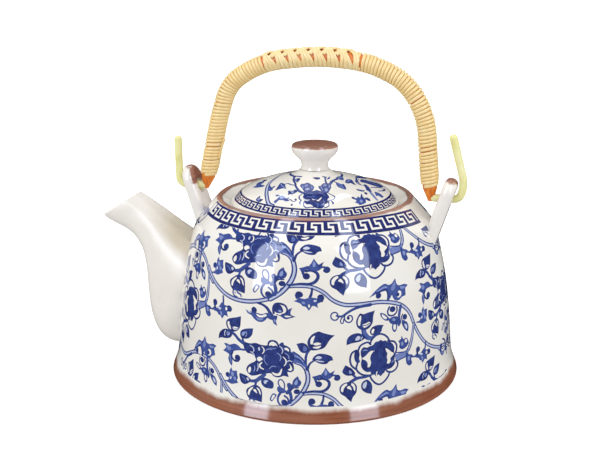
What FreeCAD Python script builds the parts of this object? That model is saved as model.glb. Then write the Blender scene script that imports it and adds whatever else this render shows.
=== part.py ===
import FreeCAD, Part
import math
import os

from FreeCAD import Vector as V

# ---------------------------------------------------------------------------
# Blue-and-white glazed ceramic teapot with a cane-wrapped swing bail.
# Millimetres, +Z up.  The origin is the centre of the foot ring on the table,
# the spout points to -X and the bail pivots about an axis parallel to X.
# ---------------------------------------------------------------------------

# --- pot body (revolved) ---
FOOT_R = 70.3            # widest radius, at the foot flange
RIM_TOP_Z = 86.9         # top of the brown lip round the mouth
RIM_OUT_R = 46.6         # outer edge of the lip
LIP_IN_R = 44.2          # inner edge of the lip
LEDGE_OUT_R = 41.0       # gallery ledge that carries the lid
LEDGE_Z = 82.0
MOUTH_R = 36.0           # clear mouth
NECK_Z = 78.6            # underside of the ledge
FLOOR_Z = 6.6            # inside floor
FLOOR_R = 56.0           # floor disc luted into the wall
RECESS_R = 61.0          # recess under the base inside the foot ring
RECESS_Z = 2.6
OUTER = [                # (radius, z) of the outer wall from foot to shoulder
    (70.3, 1.3), (69.5, 3.5), (68.5, 6.0), (67.65, 9.0), (66.95, 14.0),
    (66.35, 22.0), (65.5, 32.0), (64.35, 42.0), (62.75, 52.0), (61.05, 60.0),
    (59.6, 66.0), (58.2, 71.0), (56.3, 75.2), (53.25, 79.0), (50.1, 82.5),
    (47.5, 85.4),
]
INNER = [                # (radius, z) of the inner wall from floor to neck
    (61.2, 10.5), (61.9, 15.0), (61.6, 22.0), (60.9, 32.0), (59.8, 42.0),
    (58.2, 52.0), (56.4, 60.0), (54.8, 66.0), (53.0, 71.0), (49.8, 75.2),
    (45.0, 78.0), (41.0, 78.6),
]
STRAINER_D = 5.0         # pierced strainer holes behind the spout
STRAINER_PITCH = 7.8
STRAINER_Z = 36.0

# --- lid ---
LID_EDGE_R = 39.8
LID_GAP = 0.3            # air under the lid edge
LID_SEAT_R = 6.95        # flat seat for the knob
LID_SEAT_Z = 99.4
LID_FLANGE_R = 35.0      # locating flange inside the mouth
LID_FLANGE_T = 2.8
LID_FLANGE_Z = 74.6
LID_OUTER = [            # (radius, z) of the domed top from edge to seat
    (39.0, 84.95), (37.5, 86.5), (36.0, 87.95), (33.5, 89.6), (30.0, 91.3),
    (26.0, 92.8), (21.0, 94.3), (15.0, 95.7), (11.5, 96.6), (9.5, 97.45),
    (8.0, 98.35), (6.95, 99.4),
]
LID_UNDER = [            # (radius, z) of the hollow under the dome
    (31.0, 86.0), (28.0, 88.0), (22.0, 90.5), (15.0, 92.4), (8.0, 93.5),
]
VENT_D = 3.4             # steam vent behind the knob
VENT_R = 19.0

# --- knob ---
KNOB = [                 # (radius, z) from its foot to the edge of the flat top
    (6.9, 99.4), (6.45, 100.4), (6.36, 101.2), (6.55, 102.5), (7.25, 103.8),
    (8.6, 105.1), (9.85, 106.5), (10.6, 107.6), (11.0, 108.7), (11.1, 109.5),
    (11.0, 110.2), (10.7, 110.8), (10.2, 111.25), (9.4, 111.5), (8.4, 111.6),
]

# --- spout: sections from root to lip, (upper R, z), (lower R, z), half width
SPOUT = [
    ((55.0, 57.0), (58.0, 9.5), 19.0),
    ((63.5, 63.4), (72.4, 6.6), 19.2),
    ((68.0, 66.3), (80.4, 12.6), 17.2),
    ((73.0, 69.9), (84.1, 26.5), 14.6),
    ((78.5, 73.8), (85.2, 43.0), 12.2),
    ((83.6, 77.3), (88.3, 55.0), 10.2),
    ((87.8, 80.0), (96.3, 63.6), 9.0),
    ((91.4, 82.3), (109.6, 70.6), 8.6),
]
SPOUT_WALL = [3.8, 3.8, 3.7, 3.5, 3.3, 3.0, 2.6, 2.2]

# --- lugs ---
HINGE_Z = 88.2           # bail pivot axis, parallel to X
LUG_W = 15.0             # width along Y
LUG_T = 6.2              # thickness
LUG_LEAN = 18.5          # degrees from vertical, outwards
LUG_TOP_Z = 98.2
LUG_HOLE_D = 6.6
LUG_R_FRONT = 61.6       # middle of the lug at z = 90, spout side
LUG_R_REAR = 63.2        # same, far side
LUG_FILLET = 2.9

# --- bail ---
CORE_R = 3.4             # cane core
WRAP_R = 4.5             # outside of the winding on the legs
BRAID_R = 4.65           # outside of the braid over the top
WRAP_BOT_R = 3.6         # the winding tapers onto the core at its foot
WRAP_TAPER = 5.0
BRAID_X0 = -23.3         # braid from here ...
BRAID_X1 = 21.5          # ... to here
HOOK_R = 1.85            # hook rod
# corners of the bail's centre line in the XZ plane, from the spout-side foot
# over the top to the far-side foot
BAIL = [
    (-53.8, 93.0), (-46.9, 124.0), (-41.8, 138.8), (-25.0, 149.0),
    (2.0, 152.3), (25.6, 150.0), (43.3, 141.5), (52.4, 126.0), (55.1, 93.0),
]
CORE_TIP_L = 6.2         # tapered end of the core under the winding
CORE_TIP_R = 1.3
# hook rods: corners of the centre line (x, z), inner end to free tip, and the
# bend radius at each inner corner.  The inner end is pushed into the core's
# end along the leg.
FRONT_HOOK = [(-52.36, 99.5), (-54.87, HINGE_Z), (-68.8, HINGE_Z), (-69.0, 110.3)]
REAR_HOOK = [(54.57, 99.5), (55.49, HINGE_Z), (69.0, HINGE_Z), (70.9, 95.4), (65.3, 116.6)]
FRONT_HOOK_BEND = [2.6, 3.6]
REAR_HOOK_BEND = [2.6, 3.4, 14.0]


# ---------------------------------------------------------------------------
# helpers
# ---------------------------------------------------------------------------
def p(r, z):
    return V(r, 0.0, z)


def line(a, b):
    return Part.LineSegment(a, b).toShape()


def spline(points):
    c = Part.BSplineCurve()
    c.interpolate([p(*q) for q in points])
    return c.toShape()


def arc3(a, m, b):
    return Part.Arc(a, m, b).toShape()


def revolve(edges):
    wire = Part.Wire(Part.__sortEdges__(edges))
    face = Part.Face(wire)
    s = face.revolve(V(0, 0, 0), V(0, 0, 1), 360.0)
    if s.Volume < 0:
        s.reverse()
    return s


def rounded_path(points, bends):
    # straight runs joined by tangent arcs, in the XZ plane
    pts = [p(*q) for q in points]
    edges = []
    start = pts[0]
    for i in range(1, len(pts) - 1):
        a, b, c = pts[i - 1], pts[i], pts[i + 1]
        u = (a - b).normalize()
        w = (c - b).normalize()
        ang = u.getAngle(w)
        turn = math.pi - ang
        t = bends[i - 1] * math.tan(turn / 2.0)
        q0 = b + u * t
        q1 = b + w * t
        bis = (u + w).normalize()
        dist = bends[i - 1] / math.cos(turn / 2.0)
        mid = b + bis * (dist - bends[i - 1])
        if (q0 - start).Length > 1e-6:
            edges.append(line(start, q0))
        edges.append(arc3(q0, mid, q1))
        start = q1
    edges.append(line(start, pts[-1]))
    return Part.Wire(edges)


def auto_bends(points):
    out = []
    for i in range(1, len(points) - 1):
        a, b, c = p(*points[i - 1]), p(*points[i]), p(*points[i + 1])
        run0, run1 = (a - b).Length, (c - b).Length
        turn = math.pi - (a - b).getAngle(c - b)
        out.append(0.47 * min(run0, run1) / math.tan(turn / 2.0))
    return out


def sweep(path, radius):
    e = path.OrderedEdges[0]
    t = e.tangentAt(e.FirstParameter)
    start = path.OrderedVertexes[0].Point
    prof = Part.Wire([Part.makeCircle(radius, start, t)])
    return path.makePipeShell([prof], True, False)


def solid_of(shape):
    sols = sorted(shape.Solids, key=lambda s: -s.Volume)
    return sols[0]


def save(shape, name):
    shape = shape.removeSplitter() if len(shape.Faces) < 60 else shape
    shape.exportStep("parts/%s.step" % name)
    bb = shape.BoundBox
    print("%-12s valid %s solids %d volume %.0f  x %.1f..%.1f y %.1f..%.1f z %.1f..%.1f" % (
        name, shape.isValid(), len(shape.Solids), shape.Volume,
        bb.XMin, bb.XMax, bb.YMin, bb.YMax, bb.ZMin, bb.ZMax))


os.makedirs("parts", exist_ok=True)

# ---------------------------------------------------------------------------
# pot body
# ---------------------------------------------------------------------------
rim_mid = p(0.5 * (RIM_OUT_R + LIP_IN_R), RIM_TOP_Z)
edges = [
    line(p(FLOOR_R, RECESS_Z), p(RECESS_R - 1.0, RECESS_Z)),
    line(p(RECESS_R - 1.0, RECESS_Z), p(RECESS_R + 1.0, 0)),
    line(p(RECESS_R + 1.0, 0), p(FOOT_R - 1.3, 0)),
    arc3(p(FOOT_R - 1.3, 0), p(FOOT_R - 0.38, 0.38), p(FOOT_R, 1.3)),
    spline(OUTER),
    line(p(*OUTER[-1]), p(RIM_OUT_R, RIM_TOP_Z - 0.6)),
    arc3(p(RIM_OUT_R, RIM_TOP_Z - 0.6), rim_mid, p(LIP_IN_R, RIM_TOP_Z - 0.6)),
    line(p(LIP_IN_R, RIM_TOP_Z - 0.6), p(LEDGE_OUT_R, LEDGE_Z)),
    line(p(LEDGE_OUT_R, LEDGE_Z), p(MOUTH_R + 0.6, LEDGE_Z)),
    line(p(MOUTH_R + 0.6, LEDGE_Z), p(MOUTH_R, LEDGE_Z - 0.6)),
    line(p(MOUTH_R, LEDGE_Z - 0.6), p(MOUTH_R, NECK_Z + 0.8)),
    line(p(MOUTH_R, NECK_Z + 0.8), p(MOUTH_R + 0.8, NECK_Z)),
    line(p(MOUTH_R + 0.8, NECK_Z), p(*INNER[-1])),
    spline(list(reversed(INNER))),
    arc3(p(*INNER[0]), p(59.7, 7.75), p(56.8, FLOOR_Z)),
    line(p(56.8, FLOOR_Z), p(FLOOR_R, FLOOR_Z)),
    line(p(FLOOR_R, FLOOR_Z), p(FLOOR_R, RECESS_Z)),
]
pot_body = revolve(edges)

# the floor disc, luted into the foot of the wall
pot_floor = Part.makeCylinder(FLOOR_R, FLOOR_Z - RECESS_Z, V(0, 0, RECESS_Z), V(0, 0, 1))
save(pot_floor, "pot_floor")

# the same outside without any hollow, used to trim what is luted on to it
edges = [
    line(p(0, 0), p(FOOT_R - 1.3, 0)),
    arc3(p(FOOT_R - 1.3, 0), p(FOOT_R - 0.38, 0.38), p(FOOT_R, 1.3)),
    spline(OUTER),
    line(p(*OUTER[-1]), p(RIM_OUT_R, RIM_TOP_Z - 0.6)),
    arc3(p(RIM_OUT_R, RIM_TOP_Z - 0.6), rim_mid, p(LIP_IN_R, RIM_TOP_Z - 0.6)),
    line(p(LIP_IN_R, RIM_TOP_Z - 0.6), p(LEDGE_OUT_R, LEDGE_Z)),
    line(p(LEDGE_OUT_R, LEDGE_Z), p(0, LEDGE_Z)),
    line(p(0, LEDGE_Z), p(0, 0)),
]
pot_outside = revolve(edges)

# pierced strainer in the wall behind the spout
holes = []
for row in range(-1, 2):
    n = 3 - abs(row) % 2
    for k in range(n):
        y = (k - (n - 1) / 2.0) * STRAINER_PITCH
        z = STRAINER_Z + row * STRAINER_PITCH * math.sqrt(3.0) / 2.0
        holes.append(Part.makeCylinder(STRAINER_D / 2.0, 20.0, V(-72.0, y, z), V(1, 0, 0)))
pot_body = pot_body.cut(holes[0].fuse(holes[1:]))
pot_body = solid_of(pot_body)
save(pot_body, "pot_body")


# ---------------------------------------------------------------------------
# spout
# ---------------------------------------------------------------------------
def spout_section(upper, lower, half_w, shrink):
    u = V(-upper[0], 0, upper[1])
    l = V(-lower[0], 0, lower[1])
    c = (u + l) * 0.5
    e1 = u - l
    h = e1.Length / 2.0 - shrink
    e1.normalize()
    b = half_w - shrink
    pts = []
    for k in range(16):
        a = 2.0 * math.pi * k / 16.0
        ca, sa = math.cos(a), math.sin(a)
        # the upper half is squarer, with a soft shoulder along each side,
        # and narrower along its top
        n = 3.1 if ca > 0.0 else 2.25
        ca = math.copysign(abs(ca) ** (2.0 / n), ca)
        sa = math.copysign(abs(sa) ** (2.0 / n), sa)
        width = b * sa * (1.0 - 0.13 * ca)
        pts.append(c + e1 * (h * ca) + V(0, width, 0))
    bs = Part.BSplineCurve()
    bs.interpolate(pts, PeriodicFlag=True)
    return Part.Wire([bs.toShape()])


outer_w = [spout_section(u, l, w, 0.0) for (u, l, w) in SPOUT]
inner_s = [(u, l, w) for (u, l, w) in SPOUT]
inner_w = [spout_section(u, l, w, t) for (u, l, w), t in zip(inner_s, SPOUT_WALL)]
(u6, l6, w6), (u7, l7, w7) = SPOUT[-2], SPOUT[-1]
u8 = (u7[0] + 2.2, u7[1] + 3.4)
l8 = (l7[0] + 2.2, l7[1] + 3.4)
inner_w.append(spout_section(u8, l8, w7, SPOUT_WALL[-1]))
spout_out = Part.makeLoft(outer_w, True, False)
spout_in = Part.makeLoft(inner_w, True, False)
spout = spout_out.cut(spout_in).cut(pot_outside)
spout = solid_of(spout)
lip = []
for e in spout.Edges:
    m = e.BoundBox
    if m.ZMin > 69.0 and m.XMax < -88.0 and e.Length > 20.0:
        lip.append(e)
try:
    f = spout.makeFillet(0.8, lip)
    if f.isValid() and len(f.Solids) == 1:
        spout = f.Solids[0]
except Exception as err:
    print("spout lip left sharp:", err)
save(spout, "spout")


# ---------------------------------------------------------------------------
# lugs
# ---------------------------------------------------------------------------
def lug(sign, r_mid):
    lean = math.radians(LUG_LEAN)
    up = V(math.sin(lean), 0, math.cos(lean))
    out = V(math.cos(lean), 0, -math.sin(lean))
    y = V(0, 1, 0)
    base = V(r_mid, 0, 90.0)
    top_u = (LUG_TOP_Z - 90.0) / math.cos(lean) - 0.5 * LUG_T * math.tan(lean) * 0.4
    hw = LUG_W / 2.0
    cu = top_u - hw
    o = base - out * (LUG_T / 2.0)

    def q(u, w):
        return o + up * u + y * w
    low = -30.0
    wire = Part.Wire([
        line(q(low, -hw - 2.0), q(cu - 14.0, -hw - 0.6)),
        line(q(cu - 14.0, -hw - 0.6), q(cu, -hw)),
        arc3(q(cu, -hw), q(top_u, 0), q(cu, hw)),
        line(q(cu, hw), q(cu - 14.0, hw + 0.6)),
        line(q(cu - 14.0, hw + 0.6), q(low, hw + 2.0)),
        line(q(low, hw + 2.0), q(low, -hw - 2.0)),
    ])
    tab = Part.Face(wire).extrude(out * LUG_T)
    rim = [e for e in tab.Edges if e.BoundBox.ZMax > 74.0 and (
        abs((e.CenterOfMass - base).dot(out)) > LUG_T / 2.0 - 0.05)]
    tab = tab.makeFillet(LUG_FILLET, rim)
    hole = Part.makeCylinder(LUG_HOLE_D / 2.0, 40.0, V(r_mid - 20.0, 0, HINGE_Z), V(1, 0, 0))
    tab = tab.cut(hole)
    mouth_edges = [e for e in tab.Edges if abs(e.CenterOfMass.z - HINGE_Z) < 2.5
                   and e.Closed and e.Length < 4.2 * LUG_HOLE_D]
    try:
        r = tab.makeFillet(0.7, mouth_edges)
        if r.isValid():
            tab = r
    except Exception as err:
        print("lug hole edge left sharp:", err)
    tab = solid_of(tab.cut(pot_outside))
    if sign < 0:
        tab = tab.mirror(V(0, 0, 0), V(1, 0, 0))
    return solid_of(tab)


front_lug = lug(-1, LUG_R_FRONT)
rear_lug = lug(1, LUG_R_REAR)
save(front_lug, "front_lug")
save(rear_lug, "rear_lug")

# ---------------------------------------------------------------------------
# lid and knob
# ---------------------------------------------------------------------------
zb = LEDGE_Z + LID_GAP
under = LID_UNDER
edges = [
    line(p(0, LID_SEAT_Z), p(LID_SEAT_R, LID_SEAT_Z)),
    spline(LID_OUTER),
    arc3(p(*LID_OUTER[0]), p(LID_EDGE_R, 84.0), p(LID_EDGE_R - 0.6, zb + 0.35)),
    line(p(LID_EDGE_R - 0.6, zb + 0.35), p(LID_EDGE_R - 1.2, zb)),
    line(p(LID_EDGE_R - 1.2, zb), p(LID_FLANGE_R, zb)),
    line(p(LID_FLANGE_R, zb), p(LID_FLANGE_R - 0.5, LID_FLANGE_Z + 0.6)),
    line(p(LID_FLANGE_R - 0.5, LID_FLANGE_Z + 0.6), p(LID_FLANGE_R - 1.0, LID_FLANGE_Z)),
    line(p(LID_FLANGE_R - 1.0, LID_FLANGE_Z), p(LID_FLANGE_R - LID_FLANGE_T, LID_FLANGE_Z)),
    line(p(LID_FLANGE_R - LID_FLANGE_T, LID_FLANGE_Z), p(*under[0])),
    spline(under),
    line(p(*under[-1]), p(0, under[-1][1] + 0.2)),
    line(p(0, under[-1][1] + 0.2), p(0, LID_SEAT_Z)),
]
lid = revolve(edges)
vent = Part.makeCylinder(VENT_D / 2.0, 20.0, V(0, VENT_R, 80.0), V(0, 0, 1))
lid = solid_of(lid.cut(vent))
save(lid, "lid")

edges = [
    line(p(0, KNOB[0][1]), p(*KNOB[0])),
    spline(KNOB),
    line(p(*KNOB[-1]), p(0, KNOB[-1][1])),
    line(p(0, KNOB[-1][1]), p(0, KNOB[0][1])),
]
lid_knob = solid_of(revolve(edges))
save(lid_knob, "lid_knob")

# ---------------------------------------------------------------------------
# bail: hooks, core, windings, braid
# ---------------------------------------------------------------------------
front_hook = solid_of(sweep(rounded_path(FRONT_HOOK, FRONT_HOOK_BEND), HOOK_R))
rear_hook = solid_of(sweep(rounded_path(REAR_HOOK, REAR_HOOK_BEND), HOOK_R))


def round_tip(hook, at):
    # the free end of the rod is domed
    return hook.fuse(Part.makeSphere(HOOK_R, V(at[0], 0, at[1])))


front_hook = solid_of(round_tip(front_hook, FRONT_HOOK[-1]).removeSplitter())
rear_hook = solid_of(round_tip(rear_hook, REAR_HOOK[-1]).removeSplitter())

bends = auto_bends(BAIL)
print("bail bend radii", [round(b, 1) for b in bends])
path = rounded_path(BAIL, bends)
core_rod = sweep(path, CORE_R)


def tip_cone(foot, nxt):
    a = p(*foot)
    d = (a - p(*nxt)).normalize()
    return Part.makeCone(CORE_R, CORE_TIP_R, CORE_TIP_L, a, d)


core = core_rod.fuse([tip_cone(BAIL[0], BAIL[1]), tip_cone(BAIL[-1], BAIL[-2])])
bail_core = solid_of(core)
save(bail_core, "bail_core")
save(front_hook, "front_hook")
save(rear_hook, "rear_hook")


def foot_taper(foot, nxt):
    # what the winding loses at its foot, where it tapers on to the core
    a = p(*foot)
    d = (p(*nxt) - a).normalize()
    ring = Part.makeCylinder(WRAP_R + 2.0, WRAP_TAPER + 1.0, a - d * 1.0, d)
    keep = Part.makeCone(WRAP_BOT_R - (WRAP_R - WRAP_BOT_R) / WRAP_TAPER, WRAP_R,
                         WRAP_TAPER + 1.0, a - d * 1.0, d)
    return ring.cut(keep)


tube = sweep(path, WRAP_R)
tube = tube.cut(foot_taper(BAIL[0], BAIL[1])).cut(foot_taper(BAIL[-1], BAIL[-2]))
crown = sweep(path, BRAID_R)
big = 200.0
left = Part.makeBox(big, big, big, V(BRAID_X0 - big, -big / 2, 60.0))
right = Part.makeBox(big, big, big, V(BRAID_X1, -big / 2, 60.0))
mid = Part.makeBox(BRAID_X1 - BRAID_X0, big, big, V(BRAID_X0, -big / 2, 60.0))
front_wrap = solid_of(tube.common(left).cut(core_rod))
rear_wrap = solid_of(tube.common(right).cut(core_rod))
top_braid = solid_of(crown.common(mid).cut(core_rod))
save(front_wrap, "front_wrap")
save(rear_wrap, "rear_wrap")
save(top_braid, "top_braid")
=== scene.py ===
import bmesh
import bpy
import math
import numpy as np
from mathutils import Matrix, Quaternion, Vector
from mathutils.geometry import delaunay_2d_cdt


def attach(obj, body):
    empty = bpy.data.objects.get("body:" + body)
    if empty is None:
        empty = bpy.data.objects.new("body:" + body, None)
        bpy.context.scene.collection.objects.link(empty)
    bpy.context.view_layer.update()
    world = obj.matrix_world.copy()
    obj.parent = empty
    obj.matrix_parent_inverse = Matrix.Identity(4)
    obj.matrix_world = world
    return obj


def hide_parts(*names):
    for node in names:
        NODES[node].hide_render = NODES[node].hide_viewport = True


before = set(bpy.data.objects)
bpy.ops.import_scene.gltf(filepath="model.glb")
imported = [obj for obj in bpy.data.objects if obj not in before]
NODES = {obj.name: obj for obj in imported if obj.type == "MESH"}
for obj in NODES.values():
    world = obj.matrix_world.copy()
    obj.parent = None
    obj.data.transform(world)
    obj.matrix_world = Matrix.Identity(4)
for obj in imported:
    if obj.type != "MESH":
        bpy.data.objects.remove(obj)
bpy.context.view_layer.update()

# ---------------------------------------------------------------------------
# Blue-and-white teapot with a cane-wrapped bail.  Shapes are worked out in
# millimetres in the CAD frame and written to the meshes in metres.
# ---------------------------------------------------------------------------
SCENE = bpy.context.scene
MM = 0.001


# ---------------------------------------------------------------------------
# small curve kit
# ---------------------------------------------------------------------------
def parse(text):
    """'x y, x y!, ...' as points; ! marks a sharp corner."""
    pts, sharp = [], []
    for tok in text.replace("\n", " ").split(","):
        tok = tok.strip()
        if tok:
            sharp.append(tok.endswith("!"))
            pts.append([float(v) for v in tok.rstrip("!").split()])
    return np.array(pts), sharp


def run(ctrl, step):
    """Centripetal Catmull-Rom through ctrl[1:-1]; the end points steer it."""
    out = []
    for i in range(1, len(ctrl) - 2):
        p0, p1, p2, p3 = ctrl[i - 1:i + 3]
        d = [max(1e-4, float(np.linalg.norm(b - a))) ** 0.5 for a, b in ((p0, p1), (p1, p2), (p2, p3))]
        t1, t2, t3 = d[0], d[0] + d[1], d[0] + d[1] + d[2]
        n = int(max(2, min(9, math.ceil(d[1] ** 2 / step))))
        t = (t1 + (t2 - t1) * np.arange(n) / n)[:, None]
        a1 = (t1 - t) / t1 * p0 + t / t1 * p1
        a2 = (t2 - t) / (t2 - t1) * p1 + (t - t1) / (t2 - t1) * p2
        a3 = (t3 - t) / (t3 - t2) * p2 + (t - t2) / (t3 - t2) * p3
        b1 = (t2 - t) / t2 * a1 + t / t2 * a2
        b2 = (t3 - t) / (t3 - t1) * a2 + (t - t1) / (t3 - t1) * a3
        out.append((t2 - t) / (t2 - t1) * b1 + (t - t1) / (t2 - t1) * b2)
    return np.vstack(out)


def open_run(pts, step):
    if len(pts) < 2:
        return pts
    ctrl = np.vstack([2 * pts[0] - pts[1], pts, 2 * pts[-1] - pts[-2]])
    return np.vstack([run(ctrl, step), pts[-1:]])


def closed_curve(pts, sharp, step):
    k = len(pts)
    if not any(sharp):
        ctrl = np.vstack([pts[-1:], pts, pts[:2]])
        return run(ctrl, step)
    s = sharp.index(True)
    pts = np.roll(pts, -s, axis=0)
    sharp = sharp[s:] + sharp[:s]
    cut = [i for i in range(k) if sharp[i]] + [k]
    loop = np.vstack([pts, pts[:1]])
    return np.vstack([open_run(loop[a:b + 1], step)[:-1] for a, b in zip(cut[:-1], cut[1:])])


def open_curve(pts, sharp, step):
    cut = [0] + [i for i in range(1, len(pts) - 1) if sharp[i]] + [len(pts) - 1]
    parts = [open_run(pts[a:b + 1], step) for a, b in zip(cut[:-1], cut[1:])]
    return np.vstack([q[:-1] for q in parts[:-1]] + [parts[-1]])


def stroke_outline(path, widths):
    """Outline of a brush line along path, its width running through widths."""
    seg = np.linalg.norm(np.diff(path, axis=0), axis=1)
    keep = np.concatenate([[True], seg > 1e-6])
    path = path[keep]
    seg = np.linalg.norm(np.diff(path, axis=0), axis=1)
    at = np.concatenate([[0], np.cumsum(seg)])
    at /= at[-1]
    w = np.interp(at, np.linspace(0, 1, len(widths)), widths) / 2
    tan = np.gradient(path, axis=0)
    tan /= np.linalg.norm(tan, axis=1)[:, None] + 1e-12
    nor = np.stack([-tan[:, 1], tan[:, 0]], 1)
    a0, a1 = math.atan2(nor[0, 1], nor[0, 0]), math.atan2(nor[-1, 1], nor[-1, 0])
    turn = np.radians([36, 72, 108, 144])
    cap0 = [path[0] + w[0] * np.array([math.cos(a0 + t), math.sin(a0 + t)]) for t in turn]
    cap1 = [path[-1] + w[-1] * np.array([math.cos(a1 - t), math.sin(a1 - t)]) for t in turn]
    left, right = path + nor * w[:, None], path - nor * w[:, None]
    return np.vstack([left, cap1, right[::-1], cap0[::-1]])


def inside(poly, q):
    """Non-zero winding test of points q against poly."""
    a, b = poly, np.roll(poly, -1, axis=0)
    wind = np.zeros(len(q), int)
    for (x1, y1), (x2, y2) in zip(a, b):
        if y1 == y2:
            continue
        up = (y1 <= q[:, 1]) & (q[:, 1] < y2)
        dn = (y2 <= q[:, 1]) & (q[:, 1] < y1)
        side = (x2 - x1) * (q[:, 1] - y1) - (q[:, 0] - x1) * (y2 - y1)
        wind += (up & (side > 0)).astype(int) - (dn & (side < 0)).astype(int)
    return wind != 0


class Drawing:
    """Brush shapes in painter's order: (tone, outline)."""

    def __init__(self, step=0.55):
        self.items = []
        self.step = step

    def fill(self, tone, text):
        pts, sharp = parse(text)
        self.items.append((tone, closed_curve(pts, sharp, self.step)))

    def line(self, tone, width, text):
        pts, sharp = parse(text)
        widths = width if isinstance(width, (list, tuple)) else [width, width]
        self.items.append((tone, stroke_outline(open_curve(pts, sharp, self.step), widths)))

    def stem(self, width, text, edge=0.88, core=0.20, part=0.42):
        """A double line: two dark edges with a pale core."""
        self.line(edge, width, text)
        w = width if isinstance(width, (list, tuple)) else [width, width]
        self.line(core, [part * v for v in w], text)

    def dot(self, tone, x, y, rx, ry=None, turn=0.0):
        ry = rx if ry is None else ry
        t = np.linspace(0, 2 * math.pi, 15)[:-1]
        c, s = math.cos(math.radians(turn)), math.sin(math.radians(turn))
        px, py = rx * np.cos(t), ry * np.sin(t)
        self.items.append((tone, np.stack([x + c * px - s * py, y + s * px + c * py], 1)))


N, D, M, L, P, W = 1.0, 0.93, 0.66, 0.34, 0.16, 0.0


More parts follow.
